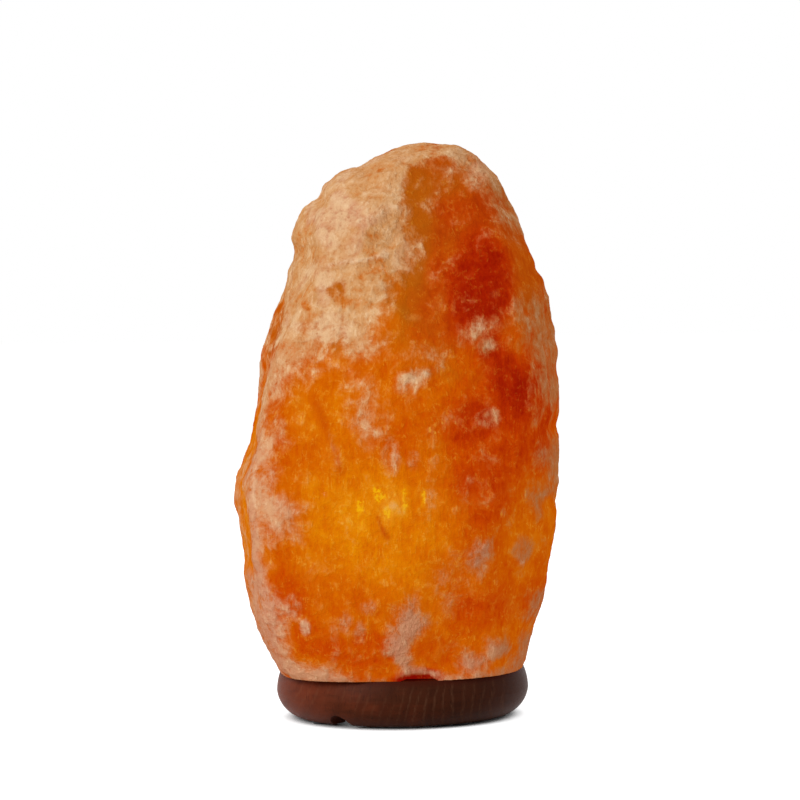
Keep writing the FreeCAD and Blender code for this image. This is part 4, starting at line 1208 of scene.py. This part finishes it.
    def strike(self, skin: Skin, crust: np.ndarray) -> np.ndarray:
        """How far the surface stands out or in at each point.

        Args:
            skin: The block's skin, with the front taken before the way it faces counts.
            crust: The crust on it.

        Returns:
            The height over the eased surface.
        """
        bent = stirred(skin.places, Seed.WARP, 14.0, 9.0)
        height = Lattice(Seed.SWELLS).layered(skin.places, 30.0, 2) * 2.0 * self.swell_depth
        height += (Lattice(Seed.SCOOPS).scoops(bent, self.scoop) - self.mid_scoop) * self.scoop_depth
        height += (Lattice(Seed.NICKS).scoops(bent, self.nick) - self.mid_scoop) * self.nick_depth
        fine = Lattice(Seed.FINE).layered(skin.places, 3.4, 3, 0.6)
        height += fine * (self.fine_depth + self.crust_roughness * crust)
        height += (np.clip(crust, 0.0, 1.0) - self.mid_crust) * self.crust_lift
        for ridge in RIDGES:
            height += ridge.at(skin.flat) * skin.front
        return height

    def build(self) -> bpy.types.Object:
        """Makes the block's piece and its maps.

        Returns:
            The piece.
        """
        piece = self.skin()
        mesh = piece.data
        places = read(mesh.vertices, "co", 3) / MM
        free = self.outside(places)
        places = self.round_off(places, read(mesh.edges, "vertices", 2, np.int32), free)
        write(mesh, places)
        facing = read(mesh.vertex_normals, "vector", 3)
        skin = Skin(places, self.front(places, -facing[:, 1]))
        crust = self.crust(skin)
        struck = Skin(places, self.front(places, np.ones(len(places))))
        write(mesh, places + facing * (self.strike(struck, crust) * free)[:, None])
        maps = {"crust": crust, "glow": self.glow(skin), "crack": self.cracks(skin)}
        maps["frost"] = self.frost(skin)
        for name, values in maps.items():
            mesh.attributes.new(name, "FLOAT", "POINT").data.foreach_set("value", values.astype(np.float32))
        mesh.materials.clear()
        mesh.materials.append(self.finish.make())
        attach(piece, self.body)
        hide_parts(self.node)
        log.info("%s: %d points over %s", piece.name, len(places), self.node)
        return piece


@dataclass
class Dressed:
    """Solids that keep their shape and get their finish."""

    finish: Finish
    nodes: tuple[str, ...]

    def build(self) -> None:
        """Gives each solid its finish."""
        material = self.finish.make()
        for name in self.nodes:
            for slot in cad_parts[name].material_slots:
                slot.material = material
            log.info("%s: dressed in %s", name, material.name)


@dataclass
class Assembly:
    """A sub-assembly of solids that keep their shape."""

    parts: tuple[Dressed, ...]

    def build(self) -> None:
        """Dresses the sub-assembly's pieces."""
        for part in self.parts:
            part.build()


@dataclass
class Foot(Assembly):
    """The turned walnut foot with its felt pads."""

    parts: tuple[Dressed, ...] = (
        Dressed(Walnut(), ("wooden_base",)),
        Dressed(Felt(), ("felt_pads",)),
    )


@dataclass
class Lampholder(Assembly):
    """What stands under and in the block, from the screws and the plate to the contacts and the clip."""

    parts: tuple[Dressed, ...] = (
        Dressed(Metal("zinc_steel", seen(166, 168, 172), seen(112, 112, 112), Polish.TUMBLED, 0.34), (
            "base_screws", "flange_plate", "lock_washer", "nipple_nut", "holder_nipple", "terminal_screws")),
        Dressed(MouldedPlastic("white_plastic", seen(232, 230, 222), seen(226, 214, 186)), (
            "cord_bushing", "holder_dome", "outer_sleeve")),
        Dressed(Metal("spring_steel", seen(126, 128, 136), seen(84, 80, 78), Polish.ROLLED, 0.26, 0.6), (
            "clip_saddle", "clip_wing_left", "clip_wing_right")),
        Dressed(Glazed("insert_porcelain", seen(236, 232, 224), seen(196, 186, 170)), ("contact_insert",)),
        Dressed(Metal("nickel_shell", seen(186, 180, 166), seen(138, 128, 110), Polish.TURNED, 0.22, 0.7), (
            "screw_shell", "bulb_cap")),
        Dressed(Metal("contact_brass", seen(212, 178, 104), seen(160, 122, 64), Polish.ROLLED, 0.28, 0.6), (
            "centre_contact", "side_contact", "terminals")),
    )


@dataclass
class Bulb(Assembly):
    """The small clear bulb: solder tip, black glass ring, blown glass, stem, leads and filament."""

    parts: tuple[Dressed, ...] = (
        Dressed(Metal("solder", seen(176, 178, 180), seen(132, 132, 132), Polish.TUMBLED, 0.42, 1.2), (
            "bulb_contact",)),
        Dressed(Glazed("black_glass", seen(22, 20, 22), seen(60, 56, 56), 0.12), ("bulb_insulator",)),
        Dressed(ClearGlass(), ("bulb_glass", "bulb_stem")),
        Dressed(Metal("lead_wire", seen(190, 176, 160), seen(140, 120, 100), Polish.TURNED, 0.3, 0.3), (
            "bulb_leads",)),
        Dressed(HotWire(), ("bulb_filament",)),
    )


# ---------------------------------------------------------------- studio


@dataclass(frozen=True)
class SoftLamp:
    """One large soft lamp of the studio: its stand, what it points at, its size and its power in watts."""

    name: str
    stand: Point
    aim: Point
    size: float
    power: float
    tint: Colour = WHITE

    def build(self) -> None:
        """Sets the lamp up."""
        light = bpy.data.lights.new(self.name, "AREA")
        light.shape, light.size, light.energy, light.color = "DISK", self.size, self.power, self.tint
        lamp = placed(bpy.data.objects.new(self.name, light))
        lamp.location = self.stand
        lamp.rotation_euler = (Vector(self.aim) - Vector(self.stand)).to_track_quat("-Z", "Y").to_euler()
        log.info("%s: %.0f W", self.name, self.power)


@dataclass
class Studio:
    """Plain studio in metres: pale floor, white surroundings, soft lamps and the camera of the photograph."""

    floor_half: float = 6.0
    floor_tint: float = 0.55
    floor_white: float = 0.86
    contact: float = 0.022
    ambient: float = 0.30
    look_at: Point = (0.00084, 0.0, 0.1378)
    distance: float = 1.5
    pitch: float = 2.6
    roll: float = -0.9
    lens: float = 154.64
    film: float = 36.0
    sight: Pair = (0.05, 60.0)
    lamps: tuple[SoftLamp, ...] = (
        SoftLamp("key_lamp", (-1.05, -1.15, 0.75), (0.0, 0.0, 0.13), 0.9, 20.0),
        SoftLamp("fill_lamp", (1.3, -1.0, 0.9), (0.0, 0.0, 0.12), 1.2, 2.0),
        SoftLamp("top_lamp", (0.1, 0.3, 1.6), (0.0, 0.0, 0.2), 1.0, 5.0),
        SoftLamp("back_lamp", (0.5, 1.4, 0.8), (0.0, 0.0, 0.13), 1.2, 9.0),
    )

    def seen_directly(self, b: Bench) -> Wire:
        """Tells rays that are looked along from light on its way to a surface.

        Args:
            b: The bench.

        Returns:
            1 for a ray from the camera, a reflection or through glass, 0 for any other.
        """
        camera, mirrored, through = (
            b.add("ShaderNodeLightPath", {}, {}, name)
            for name in ("Is Camera Ray", "Is Glossy Ray", "Is Transmission Ray")
        )
        return camera.most(mirrored).most(through)

    def floor(self) -> None:
        """Lays the floor, which shows white and keeps the object's shadow, with a painted contact shadow
        where the object hems it in.
        """
        half = self.floor_half
        corners = [(-half, -half, 0.0), (half, -half, 0.0), (half, half, 0.0), (-half, half, 0.0)]
        mesh = bpy.data.meshes.new("floor")
        mesh.from_pydata(corners, [], [(0, 1, 2, 3)])
        plane = placed(bpy.data.objects.new("floor", mesh))
        b = Bench.of("floor")
        matt = b.add("ShaderNodeBsdfDiffuse", {}, {"Color": (self.floor_tint,) * 3})
        open_sky = b.add("ShaderNodeAmbientOcclusion", {"samples": 8}, {"Distance": self.contact}, "AO")
        # Painted contact shadow: the white seen from the camera dims where the floor is hemmed in near the
        # object.
        white = self.seen_directly(b) * open_sky.rise(0.12, 0.45) * self.floor_white
        shine = b.add("ShaderNodeEmission", {}, {"Color": WHITE, "Strength": white})
        mesh.materials.append(b.close(b.add("ShaderNodeAddShader", {}, {0: matt, 1: shine})))

    def surroundings(self) -> None:
        """Makes the surroundings white to look at and softly grey as light."""
        world = bpy.data.worlds.new("studio")
        bpy.context.scene.world = world
        b = Bench(world)
        sky = self.seen_directly(b) * (1.0 - self.ambient) + self.ambient
        glow = b.add("ShaderNodeBackground", {}, {"Color": WHITE, "Strength": sky})
        b.add("ShaderNodeOutputWorld", {}, {"Surface": glow})

    def camera(self) -> None:
        """Stands the camera where the photograph was taken from."""
        down, turn = math.radians(self.pitch), math.radians(self.roll)
        ahead = Vector((0.0, math.cos(down), -math.sin(down)))
        level = Vector((1.0, 0.0, 0.0))
        upright = Vector((0.0, math.sin(down), math.cos(down)))
        right = level * math.cos(turn) + upright * math.sin(turn)
        above = upright * math.cos(turn) - level * math.sin(turn)
        stand = Vector(self.look_at) - ahead * self.distance
        data = bpy.data.cameras.new("camera")
        data.sensor_width, data.lens = self.film, self.lens
        data.clip_start, data.clip_end = self.sight
        camera = placed(bpy.data.objects.new("camera", data))
        camera.matrix_world = Matrix((
            (right.x, above.x, -ahead.x, stand.x),
            (right.y, above.y, -ahead.y, stand.y),
            (right.z, above.z, -ahead.z, stand.z),
            (0.0, 0.0, 0.0, 1.0),
        ))
        bpy.context.scene.camera = camera

    def build(self) -> None:
        """Sets the studio up."""
        bpy.context.scene.view_settings.view_transform = "Standard"
        self.floor()
        self.surroundings()
        for lamp in self.lamps:
            lamp.build()
        self.camera()
        log.info("studio: camera %.2f m away", self.distance)


def main() -> None:
    """Builds the lamp's sub-assemblies in order, then the studio."""
    logging.basicConfig(level=logging.INFO, format="%(name)s: %(message)s")
    SaltCrystal().build()
    Foot().build()
    Lampholder().build()
    Bulb().build()
    Studio().build()


if __name__ == "__main__":
    main()
